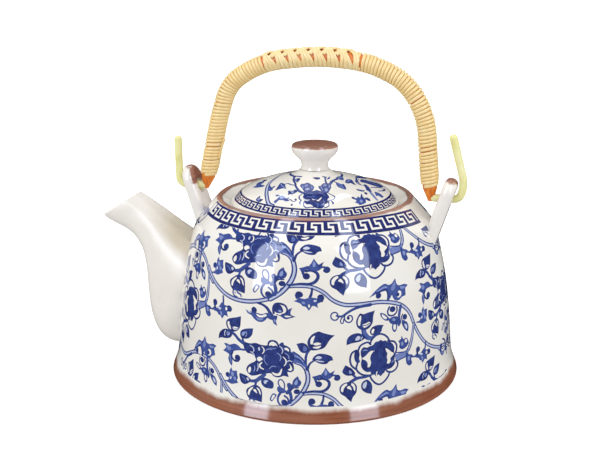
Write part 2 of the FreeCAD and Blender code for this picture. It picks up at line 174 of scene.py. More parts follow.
# ---------------------------------------------------------------------------
# the peony scroll: one repeat, drawn on the unrolled wall
# (x round the wall at radius 64, y up the wall)
# ---------------------------------------------------------------------------
def peony_scroll():
    g = Drawing()
    # --- stems -------------------------------------------------------------
    g.stem([1.5, 1.9, 2.0, 2.0, 2.0, 1.9], "1.2 58.4, 4.4 60.0, 9 60.6, 14.5 60.3, 19.5 58.2, 24.1 54.3, 29 52.2, 35 51.8, 40 51.8, 45 51.7, "
           "49 51.1, 53.6 49.8, 57.3 48.2, 60.5 45.6, 62.5 42.8, 63.6 40, 64.9 36.8, 66.2 34.4")
    g.stem([1.9, 1.9], "64.9 36.8, 66.9 33.2, 70 29.2, 73.6 26, 78.2 23.5, 83.6 21.7, 90 20.8")
    g.stem([1.9, 2.0, 2.0, 1.9], "-42 61, -39.8 58.8, -36 55.9, -32 53.6, -28 52, -24 51.1, -20.3 50.8, -14.5 51.1, -9.6 52.1, -5.4 53.4, -1.4 55.2")
    g.stem([1.9, 2.1, 2.2, 2.1, 1.8], "3.8 6.2, 5.8 7.7, 8.3 10, 10.4 12.8, 11.9 15.4, 12.8 17.9, 13.0 20, 12.7 22.2, 12 24.2, 10.3 26, 7.6 26.9")
    g.stem([1.2, 1.6, 1.9, 1.7], "64 38.4, 63.3 35.6, 62.6 33, 61.2 29.6, 59.6 27.2, 57.6 25.6", part=0.34)
    g.line(0.85, [0.8, 1.1, 1.2], "12.3 23.8, 12.1 26.7, 12.1 29.2, 12.5 30.9, 13.3 32.3, 14.2 33.4")
    g.line(0.9, [1.2, 0.9, 0.7], "12.7 23.6, 13.6 26.1, 14.8 27.3, 16 28.0")
    # --- flower A: leaf sprig ------------------------------------------------
    g.line(0.85, [1.4, 1.4, 1.5, 1.9], "-23 36.2, -20.7 35.3, -19 33.9, -17 32.9, -14.6 32.2")
    g.line(0.85, [0.9, 1.1], "-16.9 35.2, -16.6 34.2, -16.2 33.2")
    g.fill(D, "-18 44.2!, -20.5 43.2, -23 42.4, -25.1 41.5, -26.1 40.2, -25.9 38.6, -24.9 37.2, -23.3 36.5, -21.3 36.6, -19.5 37.5, -18.3 39.1, -18 41.6")
    g.fill(W, "-25.2 40.3, -25.1 38.9, -24.3 37.7, -23.1 37.3, -23.3 38.2, -24.0 39.4, -24.4 40.6")
    g.fill(W, "-22.3 38.1, -21.2 37.5, -19.6 38.0, -19.1 38.8, -20.4 38.9, -21.4 38.9")
    g.line(0.5, 0.35, "-22.6 38.6, -21 38.0, -19.3 38.4")
    g.fill(0.92, "-11.6 39.9!, -14 39.5, -16.4 38.7, -17.8 37.6, -18 36, -17.3 34.8, -15.8 34.6, -13.6 35.2, -12.1 36.8, -11.7 38.4")
    g.fill(L, "-17.1 36.9, -16.3 37.7, -15.2 37.6, -15.7 36.6, -16.6 35.7, -17.2 36")
    g.line(L, 0.4, "-15 37.9, -14.6 36.8, -15.2 35.7")
    g.fill(0.96, "-30.1 31.5!, -30 33.5, -29.2 35, -27.6 36.4, -25.5 37, -23.5 36.6, -22.3 35.3, -22.9 33.9, -24.5 33, -26.5 32.6, -28.5 32.4")
    g.fill(L, "-24.9 36.1, -23.6 35.6, -23.9 34.6, -24.9 34.2, -25.5 35.2")
    g.line(P, 0.45, "-26.2 36.1, -26.7 34.9, -26.4 33.8")
    g.line(0.8, 0.5, "-24.4 36.2, -24.9 35.0")
    # --- flower A: bloom ----------------------------------------------------
    g.fill(M, "6.4 31.6, 9 30.2, 10.8 28.4, 11.9 26.4, 12.4 24.8, 11.3 25, 10 26.1, 8.3 26.6, 6.6 26.4")
    g.line(0.9, 0.6, "6.9 31.4, 9.1 30, 10.9 28.2, 12.0 26.2")
    g.line(0.9, 0.5, "7 28.6, 9.2 28, 10.8 26.6")
    g.line(L, 0.45, "7.4 29.8, 9.4 28.9, 11 27.2")
    g.fill(D, "-16.1 32, -15 33.0, -12.5 33.1, -10 33.7, -8.3 33.3, -6.7 33.2, -4.8 33.4, -4.6 34.4, -3.9 35.6, -2.3 36.1, -0.5 35.6, 0.5 34.3, "
           "0.9 34.9, 2.4 35.4, 2.6 34.4, 4.1 33.9, 5.5 32.8, 5.8 31.5, 6.9 30.4, 7.3 28.3, 6.7 26.7, 7.1 24.6, 6.9 22.9, 5.4 22.1, 4.4 22.2, 4.9 19.9!, "
           "2.7 20.3, 1.7 19.8, 0 19.3, -1.8 19.8, -2.7 20.8, -4.4 20.6, -5.8 19.9, -7.5 19.8, -10 18.8, -11.8 18.5, -13.5 19.4, -14.3 20.8, -13.7 22.6, "
           "-12.3 24, -10.4 25.2, -9.8 26, -10.2 27.1, -11.2 28.1, -12.4 28.5, -13.9 28.5, -15.2 29.5, -15.9 30.8")
    g.fill(W, "-3.9 33.2, -3.7 34.5, -2.4 35.3, -0.8 34.6, -0.2 33.3, -1.0 33.8, -2.0 33.3, -3.0 33.6")
    g.fill(W, "2.8 32.8, 3.8 33.1, 4.9 32.3, 4.7 31.4, 3.9 32, 3.2 32.1")
    g.fill(W, "-9.4 26.6, -8.5 27.7, -7.2 27.5, -6.7 26.4, -7.5 26.2, -7.9 25.6, -8.9 25.8")
    g.fill(P, "-8.9 31.6, -8.4 32.2, -8.0 31.2, -8.3 30.4, -8.8 30.7")
    g.line(P, [0.3, 0.5, 0.3], "-12.6 29.5, -11.4 28.9, -10.4 27.6")
    g.line(L, [0.25, 0.5, 0.3], "-0.2 30.4, 1 29.6, 1.5 28.4, 1.0 27.1")
    g.line(W, [0.5, 0.75, 0.5], "-7.0 25.2, -7.9 24.3, -7.7 23.0, -6.2 22.3")
    g.line(L, [0.3, 0.45, 0.3], "-5.4 31.0, -4.2 31.8, -2.6 31.7")
    g.line(L, [0.3, 0.4, 0.3], "3.2 30.6, 4.6 29.7, 5.0 28.2")
    g.fill(W, "-13.5 20.3, -13.2 21.7, -12.4 22.5, -12.0 21.4, -12.3 20, -12.8 19.5")
    g.line(L, [0.3, 0.5, 0.3], "-10.4 23.2, -10.2 22, -10.6 20.6")
    g.fill(W, "-2.4 21.5, -1.7 20.4, 0 20.0, 1.3 20.5, 1.9 22.2, 2.0 23.6, 1.4 22.9, 0.8 21.6, -0.3 21.0, -1.5 21.3")
    g.fill(W, "5.1 25.9, 6.1 24.7, 6.3 23.3, 5.5 22.8, 4.5 23.3, 5.4 23.9, 5.5 24.9")
    g.line(L, [0.3, 0.4, 0.3], "-3.6 22.9, -2.4 24.1, -0.8 24.2")
    g.line(P, [0.3, 0.55, 0.3], "-12.9 32.2, -11.5 31.6, -10.9 30.2, -11.4 29.4")
    g.line(W, [0.3, 0.6, 0.35], "-7.2 32.5, -6.3 31.6, -6.2 30.3, -6.9 29.4")
    g.line(P, [0.3, 0.5, 0.3], "0.7 33.6, 1.9 32.6, 2.2 31.2, 1.8 30.3")
    g.line(W, [0.3, 0.6, 0.3], "2.4 28.9, 3.5 27.7, 3.7 26.2, 2.9 24.8")
    g.line(P, [0.3, 0.5, 0.3], "3.9 26.6, 5.0 27.4, 6.3 27.0")
    g.line(P, [0.3, 0.5, 0.3], "-8.9 24.6, -8.6 22.8, -9.2 21.0")
    g.line(0.5, [0.3, 0.5, 0.3], "-5.6 28.9, -6.1 27.4, -5.6 25.7, -4.5 24.5")
    g.line(0.5, [0.3, 0.5, 0.3], "-0.6 32.6, -2.0 32.2, -3.3 32.4")
    # --- flower A: leaves on the right stem -----------------------------------
    g.fill(D, "8.0 35.1!, 9.3 35.5, 10.8 35.7, 12.6 34.7, 13.4 33.1, 12.7 31.6, 10.9 31.1, 9.5 32.1, 8.7 33.7")
    g.fill(0.6, "11.2 34.4, 12.4 33.8, 12.4 32.4, 11.2 31.9, 10.8 33.1")
    g.fill(D, "24.4 39!, 22.5 39.3, 20.4 39.9, 18.8 40.4, 17.6 40.9, 16.2 40.5, 14.4 39.4, 13.1 37.6, 12.6 35.8, 13.2 33.9, 14.3 32.5, 17 32.6, 19.7 33.5, 21 35.1, 21.6 36.2, 22.6 37.5")
    g.fill(W, "14.1 35.2, 13.9 36.8, 14.5 38.2, 15.8 39.0, 15.5 37.7, 15.1 36.2, 14.9 35.2")
    g.fill(W, "15.1 35.3, 16.8 36.0, 18.5 35.4, 17.4 34.8, 15.8 34.7")
    g.fill(W, "14.9 33.8, 17 34.2, 18.5 34.5, 17.6 33.4, 15.8 33.3")
    g.fill(D, "14.8 28.2, 15.7 29.9, 17.5 30.9, 19.2 30.9, 21.3 30.4, 23.0 29.5, 23.6 27.8!, 22.1 27.5, 20.8 26.3, 19.2 26.2, 17.5 26.6, 16.0 27.5")
    g.fill(P, "16 28.9, 17.3 29.9, 18.9 29.2, 18.2 28.6, 17.0 28.5")
    g.line(P, [0.3, 0.6, 0.3], "16.4 27.9, 17.8 27.5, 19.6 27.3")
    # --- flourish left of flower A --------------------------------------------
    g.fill(0.78, "-26.8 30.3!, -25 30.6, -23.6 30.3, -22.3 30.8, -20.4 31.4, -18.5 30.8, -17.2 30.0, -15.2 30.1, -15.2 29.3, -17.5 29.0, -19.2 28.6, -20.6 28.1, "
           "-21.5 27.3, -22 26.2, -21.9 24.7, -21.5 22.8, -21.8 20.7!, -23.2 22.2, -23.9 24.2, -23.5 25.7, -24.6 26.3, -27.1 26.8!, -25.9 28, -25.3 28.8, -26.0 29.6")
    g.fill(0.45, "-25.2 29.8, -23.8 29.6, -22.6 29.2, -22.9 28.0, -24.2 27.7, -24.9 28.6")
    g.line(0.5, 0.5, "-22.9 25.4, -22.8 24, -22.2 22.4")
    g.dot(W, -20.4, 25.7, 1.5, 1.8, 20)
    g.line(D, [1.0, 0.9, 0.9, 1.1], "-21.7 27.4, -22.2 25.8, -21.5 24.3, -19.9 23.6, -18.5 24.0")
    g.dot(D, -18.9, 25.2, 1.5)
    # --- trefoil ----------------------------------------------------------------
    g.fill(0.76, "-22 20.2!, -21.2 18.7, -20.1 19.0, -18.9 19.2!, -18.8 17.5, -18.3 16, -18.8 14.9, -18.1 13.7!, -20 12.9, -21.6 12.4, -23.2 12.7, -25.6 12.7!, "
           "-25.5 13.3!, -23.7 13.7, -23.2 14.9, -24.6 15.2, -25.1 16.5, -24 17.5, -22.9 17.1, -22.9 18.5")
    g.dot(D, -24.1, 16.3, 0.95)
    g.dot(0.4, -21.3, 17.2, 0.75, 1.1, 20)
    g.dot(P, -22.2, 15.2, 0.5, 0.75, -20)
    g.dot(0.4, -20, 15.4, 0.6, 0.9, 30)
    # --- branch under flower A ---------------------------------------------------
    g.line(0.8, [1.5, 1.8, 1.7, 1.3], "-5.6 19.9, -7.7 18, -9.6 16.4, -12 15.9")
    g.line(0.8, [1.2, 1.0], "-9.3 16.4, -9.6 15.2, -9.8 14")
    g.fill(0.94, "-17.6 18.3, -15.4 18.3, -13.3 17.7, -11.8 16.3, -12.8 14.9, -15 13.8, -16.6 14.5, -17.4 16.2")
    g.dot(P, -13.4, 16.5, 0.55, 0.8, 30)
    g.line(0.6, 0.4, "-16.6 17.2, -15.2 16.6, -14.4 15.4")
    g.fill(D, "-10 14.5, -12.2 13.2, -13.9 11.4, -13.7 9.6, -12.2 7.7, -10 7.6, -6.5 7.1!, -6.5 10, -6.9 12.6, -8.3 14.2")
    g.fill(W, "-13.1 9.6, -13.0 11.2, -12.0 12.6, -10.7 13.4, -10.9 12.6, -11.7 11.6, -12.2 10.4, -12.5 9.2")
    g.fill(W, "-9.2 13.4, -8.1 13.0, -7.4 11.8, -7.2 10.2, -7.8 10.9, -8.2 12.0, -8.8 12.7")
    g.fill(W, "-10.7 12.1, -9.8 12.5, -9.0 11.5, -8.9 10.7, -9.6 11.1, -10.2 11.4")
    g.line(0.9, 0.4, "-9.9 14.0, -10.4 12.9, -11.3 11.8")
    g.fill(0.9, "-6.9 18, -5.8 18.5, -3.3 17.9, -1.7 16.7, -1.9 14.1, -3.8 13.8, -5.8 14.2, -7.1 15.8")
    g.fill(P, "-6.0 16.7, -5.2 17.4, -3.9 17.2, -4.7 16.5, -5.0 15.6, -5.7 15.8")
    # --- spray inside the stem bend ------------------------------------------------
    g.line(0.8, 0.6, "2.2 14.4, 0.9 15.6, 0.4 16.9, 0.9 18.3, 1.9 18.4, 2.9 17.1, 3.1 15.4, 2.9 14.2")
    g.fill(W, "1.9 14.8, 1.2 15.8, 0.9 17, 1.2 18, 1.8 18, 2.5 16.9, 2.6 15.4")
    g.fill(0.74, "0 14.8, 0.8 15.3, 2.9 14.4, 3.9 13.4, 3.3 12.6, 1.7 12.3, 0.3 12.8")
    g.fill(0.74, "-0.2 11.3, -1.7 11.9, -2.7 10.4, -3.1 8.8, -2.3 8.1, -1.2 9.4, -0.3 10.8")
    g.fill(W, "-0.9 11, -1.7 11.2, -2.2 10.1, -2.5 8.9, -2.1 8.8, -1.4 9.8")
    g.line(0.84, [1.1, 0.9, 0.8, 0.8, 0.8, 0.9], "1.4 12.4, 0.5 10.6, 0.5 8.4, 1.7 6.9, 3.4 6.9, 4.7 8.3, 4.6 10, 3.2 11.2")
    g.dot(D, 3.1, 8.3, 1.3)
    g.fill(0.84, "8.8 20.6!, 7.2 19.2, 6.5 17.6, 6.4 16.0, 7.9 15.5, 9.5 16.1, 10.2 17.9, 9.3 19.2")
    g.fill(L, "8.4 19, 7.6 18.2, 7.3 16.8, 8.2 16.6, 8.7 17.8")
    g.fill(0.84, "4.2 16.9, 5.4 17.3, 6.2 15, 5.2 13.9, 4.4 15")
    g.line(0.84, [1.4, 1.5, 1.8], "4.2 12.6, 5.2 14, 6.3 15.8")
    g.fill(W, "6.1 11.6, 5.9 13.6, 6.9 14.8, 8.6 15.1, 7.4 14.0, 7.2 12.4")
    g.line(0.9, 0.6, "6 11.2, 5.6 13.4, 6.8 15.0, 8.9 15.3")
    g.dot(D, 8.3, 13.5, 1.35, 1.15, 20)
    g.line(0.84, [1.5, 1.2], "5.4 12.9, 6 10.4, 5.6 8.4")
    # --- flourish right of the stem -----------------------------------------------
    g.line(0.9, [0.9, 1.0, 1.2, 1.3, 1.3, 1.2, 1.0], "10.6 13.1, 15 13.8, 18.8 13.8, 20.8 14.8, 21.9 16.7, 21.7 18.1, 20.4 19.3, 18.8 19.6, 17.4 19.2")
    g.fill(0.84, "14.7 20.5!, 16.5 21.0, 18.3 21.5, 19.5 20.2, 17.6 19.9, 16.8 18.8, 17 17.9, 16.2 17.3, 15.5 19.2")
    g.dot(D, 17.5, 17.1, 1.4)
    g.fill(0.76, "20.4 24.7!, 19.3 22.6, 18.6 21.6, 18.8 20.4, 20.2 19.5, 22 19.4, 23.2 20.6, 22.6 21.6, 21.6 22.8")
    g.fill(0.36, "20.4 23.5, 19.9 22.2, 20.2 21.0, 20.9 21.4, 21 22.4")
    g.fill(0.84, "22.1 21.8, 24.3 23.2!, 23.6 21.4, 24.6 21.4, 23.3 20.2, 22 20.6")
    g.dot(D, 25.2, 19.8, 1.45)
    g.dot(W, 23.5, 20.0, 0.5, 0.75, -40)
    g.line(0.84, 0.7, "22.4 20.4, 23.6 20.9, 24.6 20.9")
    # --- flourish hanging under the stem (F1) ----------------------------------------
    g.line(0.9, [1.0, 1.1, 1.4], "14.9 59.6, 14.6 57.6, 13.9 55.9")
    g.fill(0.78, "6.5 54!, 8.2 54.9, 8.0 56.2, 9.4 55.8, 11.4 55.1, 13 55.6, 14.6 55.7, 16.2 55.6, 17.6 55, 19.2 54.2, 18.2 53.5, 17.1 53.0, 17.3 51.2!, 15.8 52.0, "
           "14.7 52.0, 14.2 51.2, 13.2 50!, 12.3 51.2, 11.8 51.7, 10.4 52.0, 9.7 52.9, 8.2 53.5")
    g.fill(W, "9.2 55.7, 11 55.2, 13.0 55.9, 11.6 56.3, 10.2 56.2")
    g.dot(D, 9.1, 57.0, 1.75, 1.35, -10)
    g.line(D, [0.9, 1.2], "7.9 55.4, 7.7 56.6")
    g.dot(D, 18.6, 55.6, 1.6)
    g.line(0.9, [0.8, 1.4], "16.3 54.5, 19 54.4")
    g.dot(P, 16.1, 54.3, 0.8, 0.45, 10)
    g.fill(W, "13.3 52.9, 12.9 52, 13.3 51.2, 13.8 52")
    g.dot(0.4, 10.9, 53.4, 0.8, 0.5, -20)
    # --- flourish under the valley of the stem (F2) ------------------------------------
    g.line(0.9, [0.8, 1.1, 1.4, 1.6], "-10 51.3, -7.2 50.8, -5.3 49.7, -4.2 48.2, -3 46.6")
    g.fill(0.8, "-15.7 47.7!, -14.5 47.2, -13 47.3, -11.5 46.9, -10 47.0, -7.8 46.8, -5.6 47.6, -4 47.6, -2.6 46.9, -0.8 46.9, -0.8 45.6, -1.2 44.8, -0.6 42.5!, -2.2 43.4, "
           "-2.9 44.8, -3.8 44.9, -5.2 45.4, -6 44.4, -7.4 43.4, -9.5 43.3, -11.5 44.4, -12.8 45.6, -14.6 46.2")
    g.fill(W, "-10.4 46.5, -8 46.2, -6 47.0, -5.4 46.5, -7.4 45.4, -9.4 45.4")
    g.fill(0.42, "-10.6 45.2, -8.9 44.8, -6.9 45.0, -7.8 44.1, -9.5 44.1")
    g.dot(D, -11.4, 48.0, 1.35)
    g.dot(P, -13.6, 46.9, 0.9, 0.35, -10)
    g.fill(0.42, "-2.2 45.4, -1.5 44.9, -1.4 43.9, -2.1 44.3")
    g.fill(0.84, "-1.4 47.4, 0.6 46.9, 2.8 45.8, 5.1 46.4, 7.3 47.2!, 5.4 47.9, 5.1 48.8, 5.9 51!, 4.4 50.2, 3.2 48.2, 1 47.9")
    g.fill(W, "2.4 47.2, 4.0 47.4, 5.6 47.2, 4.4 46.8, 3 46.7")
    g.dot(W, 0.6, 49.8, 3.0, 2.5)
    g.line(D, [1.1, 1.0, 0.9, 0.8, 0.6], "-2.3 48.0, -2.5 50, -1.6 51.8, 0.5 52.3, 2.8 51.7, 3.7 50.0, 3.1 48.4, 1.2 47.6")
    g.fill(D, "-2.2 49.2, -2.2 51, -0.7 51.9, 0.9 51.6, 1.7 50.4, 1.9 48.9, 0.6 48.2, -1 48.2")
    g.fill(L, "-0.2 49.3, 0.9 49.5, 1.2 48.9, 0.2 48.6")
    # --- little sprig on the stem --------------------------------------------------
    g.line(0.84, 0.75, "-20.4 51.8, -21.9 52.1, -23 53.2, -22.6 54.6, -21.3 54.8, -20.4 53.9, -19.6 53.6, -18.6 53.3, -18.3 52.6")
    g.dot(W, -21.6, 53.6, 0.85, 0.75)
    g.dot(0.7, -21.8, 53.5, 0.4)
    # --- flourish standing on the arch (F3) ------------------------------------------
    f3 = len(g.items)
    g.fill(0.76, "-50.3 20.7!, -48.6 23.5, -46.6 26, -44.5 27.4, -42.5 27, -41.3 27.6, -39.7 30.2!, -38.2 27.6, -36.5 27.3, -33.5 28.1, -31.3 27.7!, -32.6 26.2, -32.3 25, -31.8 23.2!, "
           "-34 22.2, -35.4 20.8, -37.6 20.7, -39 21.8, -39.8 22.8, -40.4 21.2, -41.4 20.4, -41.6 22.2, -42.6 24.2, -44.2 24.5, -45.9 23.6, -47.6 22.6")
    g.fill(W, "-44.4 24.4, -42.6 24.6, -41.5 23.2, -41.3 21.0, -43.4 20.6, -45 21.2, -45.6 22.8")
    g.dot(D, -46.2, 22.1, 1.3)
    g.line(0.88, [1.2, 1.1, 1.1], "-47.2 23.0, -45.6 24.2, -43.2 24.9, -41.8 23.2, -41.2 20.6")
    g.fill(0.4, "-47.8 23.7, -46 25.3, -44 26.4, -42.8 25.8, -44.6 25.3, -46.4 24.2")
    g.fill(0.5, "-40.7 27, -39.6 28.6, -39 27, -39.2 25.2, -40.2 24.6, -41 25.6")
    g.fill(W, "-36.4 25, -35 24.6, -34.6 23.2, -35.6 22, -36.9 22.2, -37 23.6")
    g.dot(0.9, -36.6, 23.2, 0.9)
    g.fill(0.4, "-36.2 26.6, -34 27, -32.8 26.9, -34 25.9, -35.4 25.9")
    f3 = (f3, len(g.items))
    # --- flower B: leaf sprig ------------------------------------------------------
    g.fill(M, "36.2 41.4, 37.9 41.4, 38.6 39, 40.2 37.2, 42.6 37.2, 41.4 36, 40 35.3, 38 36, 36.4 38.2")
    g.line(0.88, 0.5, "36.5 41, 36.8 38.4, 38.6 36.2")
    g.fill(D, "42.8 48.3!, 41.9 45.9, 41.5 43.2, 40 41.1, 38 40.2, 36.2 40.4, 34.4 41.8, 33.8 44.1, 34.7 46.5, 35.9 47.8, 37.2 47.3, 39.1 47.7")
    g.fill(W, "34.8 42.6, 34.6 44.2, 35.2 46, 36.1 46.9, 36.2 45.3, 35.8 43.8, 35.5 42.4")
    g.fill(W, "36.6 42.6, 38.2 43.1, 40 43.6, 40.4 42.9, 39 41.8, 37.4 41.3")
    g.line(0.8, 0.45, "36.8 42.3, 38.4 42.3, 40 43.0")
    g.fill(D, "46.9 41.2!, 45.2 41.5, 43.2 41.6, 41 40.9, 40 39.3, 40.4 37.9, 42.2 37.1, 44.2 37.5, 45.6 38.6, 46 40")
    g.fill(W, "40.7 39, 41.5 40.3, 42.2 39.9, 41.8 38.7, 41.3 38")
    g.fill(D, "29.3 34.2!, 29.7 37, 31.8 38.8, 35 39.1, 37.9 37, 35.6 35.4, 31.8 34.9")
    g.fill(P, "33.2 36.1, 34.4 37.9, 35.6 37.4, 34.9 36.1")
    g.line(P, 0.45, "35.9 36.2, 36.4 37.2")
    # --- flower B: bloom --------------------------------------------------------------
    g.fill(0.5, "51.4 27.9, 53 26.8, 55.5 27.1, 58 26.6, 60 27.6, 59.2 25.1, 57.6 24.2, 55 23.8, 53.2 23.0, 52 23.6")
    g.line(0.88, 0.55, "52 27.6, 55.4 27.0, 58.4 26.7")
    g.line(0.88, 0.55, "52.8 23.2, 55 23.8, 57.6 24.3, 59.4 25.6")
    g.fill(W, "40 33.6, 40.5 35, 42.3 36.9, 44.6 37.5, 46.8 36.8, 48.7 35.2, 49.6 33.4, 51.9 32.8, 53.3 30.9, 53.1 28.5, 52.2 27.2, 52.2 25, 52.8 23.6, 53.5 22.3, 52.4 19.9, 50 19.0, 49 19.2, "
           "48.3 17.3, 46 15.1, 44.1 14.4, 42.3 15.1, 40.4 17.3, 39.4 19.1, 36.3 19.9, 34.4 21.3, 33.1 23.1, 31.3 24.9, 30.8 27.7, 31.7 30.5, 33.5 31.5, 34.7 31.9, 35.4 33.3, 37.3 34.3, 39.1 34.5")
    for a in ("40 33.6, 40.5 35, 42.3 36.8, 44.5 37.5, 46.8 36.8, 48.6 35.2, 49.6 33.4",
              "48.7 33.8, 49.6 33.4, 51.8 32.8, 53.2 30.9, 53.0 28.6, 52.2 27.1",
              "52.6 23.8, 53.5 22.3, 52.4 19.9, 50 19.0, 48.2 19.5, 47.4 20.4",
              "49.1 19.3, 48.3 17.3, 46 15.1, 44.1 14.4, 42.3 15.1, 40.4 17.3, 39.5 19.2",
              "39.5 19.3, 36.4 20, 34.5 21.4, 33.5 23.2, 34.0 25.5",
              "33.3 23, 31.4 24.9, 30.8 27.7, 31.7 30.5, 33.5 31.5",
              "34.2 31.2, 34.7 31.9, 35.4 33.3, 37.3 34.3, 39.1 34.5, 40.2 33.4"):
        g.line(0.90, 0.88, a)
    g.fill(D, "33 31, 34.4 31.9, 35.1 29.6, 34.8 27.7, 35.2 26.2, 34.2 25.6, 33 26.8, 32.6 28.9")
    g.fill(D, "39.6 32.6, 41.2 32.9, 42.6 34.2, 44 34.3, 45.2 34.8, 46 34.1, 47.4 34.1, 48.6 33.3, 50 32.8, 51.2 31.8, 52 30, 51.8 28, 52.2 26.4, 51.8 24.6, 52 22.8, 50.6 21.2, 48.6 20.6, "
           "47.2 20.8, 46.6 19.6, 45.6 18.9, 44.6 18.1, 43.5 19.1, 42.6 18.2, 41.6 19.4, 40.4 19.2, 39.8 20.9, 38.4 21.0, 37 21.9, 35.9 23.4, 35.6 25.6, 36 27.4, 35.6 29.4, 35.7 31.3, 37 32.6, 38.4 32.2")
    g.fill(W, "36.2 27.5, 38 28.7, 39 29.7, 40.4 30.5, 42 30.2, 40.8 29.3, 40.1 28.2, 39.9 26.8, 40.2 25.2, 39.6 23.3, 38.6 23.2, 38.7 24.9, 37.8 26.4")
    g.fill(W, "47.4 30.5, 48.8 29.8, 50 28.6, 51.6 27.3, 50.6 26.2, 49.7 25.5, 49.8 24.2, 48.9 23.2, 47.9 23.4, 48.2 25, 47.9 26.6, 48.3 28, 47.7 29.2")
    g.line(W, 0.5, "42.9 20.4, 42.6 19.2, 42.9 18.3")
    for x in (41.2, 42.6, 44.2, 45.8, 47.1):
        g.line(0.89, 0.25, "%.2f 31.6, %.2f 28, %.2f 23" % (x + 0.3, x, x - 0.2))
    g.line(L, [0.25, 0.5, 0.25], "36.7 30.9, 37.5 31.3, 38.6 30.9")
    g.line(L, [0.25, 0.5, 0.25], "50.2 23.4, 50.9 23.6, 51.2 24.4")
    # --- flower B: branch below -----------------------------------------------------
    g.line(0.84, [1.0, 1.2, 1.5, 1.5], "40 19.4, 37.4 18.9, 34 18.8, 31 17.4")
    g.line(0.84, [1.0, 1.2], "33.4 18.9, 32.6 19.9, 31.8 20.9")
    g.fill(0.94, "28.8 25.3!, 30.2 24.4, 31.6 23.4, 33 20.9, 31.2 20.3, 29 20.6, 27.4 22.2, 27.9 23.7")
    g.fill(L, "30.4 22.9, 31.4 22, 31.5 21.2, 30.5 21.3")
    g.fill(D, "26.2 15, 26.6 12.5, 28.6 10.9, 29.7 9.6, 31.1 8.2!, 31.8 10.2, 33.3 12.1, 33.6 15.3, 31.8 17.3, 29.2 17.4, 27.2 16.6")
    g.fill(W, "26.9 13.4, 26.9 15.0, 27.8 16.3, 29.3 16.9, 29.5 16.2, 28.6 15.4, 28.0 14.4, 27.6 13.0")
    g.fill(W, "31.4 16.8, 32.5 16.1, 33.0 14.7, 32.7 13.0, 32.3 13.8, 32.0 15.0, 31.2 16.0")
    g.fill(W, "29.3 14.9, 30.3 15.7, 31.2 14.5, 31.3 13.5, 30.5 14.1, 29.8 14.4")
    g.line(0.9, 0.4, "30.4 17.0, 29.9 15.9, 28.8 14.6")
    g.fill(D, "35.5 15, 36.2 16.7, 38.2 17.6, 39.8 16.2, 40.6 14.1, 40.1 10.7!, 37.6 11.6, 36 13.1")
    g.fill(P, "36.2 14.9, 36.8 16.2, 38 16.7, 38 15, 37.2 13.6, 36.5 13.9")
    # --- tendril at the arch's start ---------------------------------------------------
    g.line(0.84, [1.5, 1.2, 1.1, 0.9], "41 51.1, 36 50.7, 32.6 49.8, 29.8 48.4, 27.6 47.2, 25.6 47.4")
    g.line(0.84, 0.65, "26.4 47.2, 25 45.7, 23.4 46, 22.7 47.4, 23.4 48.8, 25 49, 25.8 48.1, 25.1 47.5")
    g.line(0.84, 0.65, "29.4 48.2, 28.6 46.4, 29.4 44.8, 31 44.3, 32.2 45.4, 32 46.9, 30.8 47.3, 30.1 46.6")
    g.dot(D, 30.4, 46.2, 0.7)
    g.line(0.84, 0.55, "28 47, 26.9 45.4, 27.3 44.1, 28.1 44.3, 28.3 45.8")
    # --- spray under the arch -----------------------------------------------------------
    g.line(0.8, [1.8, 1.6, 1.5], "56.6 47.9, 55.7 45.6, 55.2 43.4, 55.4 41.4")
    g.fill(0.8, "45.3 46.9!, 47.3 46.2, 49.2 44.5, 50 43, 48.2 42.8, 46.4 44, 45.4 45.5")
    g.fill(W, "46.2 46.1, 47.4 45.3, 48.6 44, 48.1 43.5, 46.8 44.3, 46.1 45.3")
    g.fill(0.84, "49.5 43.2, 51.4 44, 53.6 43.9, 55.4 42.8, 56.4 41.2, 55.6 39.6, 54.6 39.0, 54 40.2, 53.2 40.8, 51.4 40.7, 50 41.6")
    g.dot(0.42, 52.2, 42.6, 0.9, 0.6, -20)
    g.fill(0.84, "51.9 37.1, 51 38.8, 51.5 41, 53.6 41, 53.9 39.1, 52.9 37.1")
    g.fill(W, "52.3 37.9, 51.7 39, 52.1 40.4, 53 40.3, 53.2 39, 52.7 37.9")
    g.dot(W, 51.6, 46.9, 2.5, 2.1)
    g.line(0.88, [0.9, 0.8, 0.8, 0.9], "50.2 48.7, 49.2 47, 49.4 45.4, 51 44.6, 53 45, 54.2 46.4, 54.2 48")
    g.dot(D, 51.8, 47.4, 1.6, 1.35)
    g.dot(W, 57.4, 42.6, 1.0, 1.3)
    g.line(0.86, 0.65, "57.4 44.1, 56.6 42.6, 57.2 41.2, 58.4 40.8")
    g.dot(D, 58.7, 42.6, 1.5, 1.3)
    g.fill(0.84, "60 35.6!, 58.2 37, 56.9 39.2, 56.6 41, 58.6 40.8, 60 39.8, 60.7 37.6")
    g.fill(P, "59.4 37, 58.5 38, 58.3 39.6, 59.3 39.2, 59.9 37.9")
    # --- trefoil between flower B and its stem ---------------------------------------------
    g.fill(0.8, "56.2 34.6!, 55.6 33.1, 54.2 32.5!, 54.9 31, 54.6 29.6, 55.9 28.3, 57.6 28.4, 59.2 29.2, 60.2 30.4, 59.7 32.2, 58.6 33.1, 57.3 32.7")
    g.dot(W, 58.6, 31.7, 0.75, 0.8)
    g.dot(0.42, 56.4, 30.8, 0.7, 1.0)
    g.dot(D, 56.2, 32.2, 0.6)
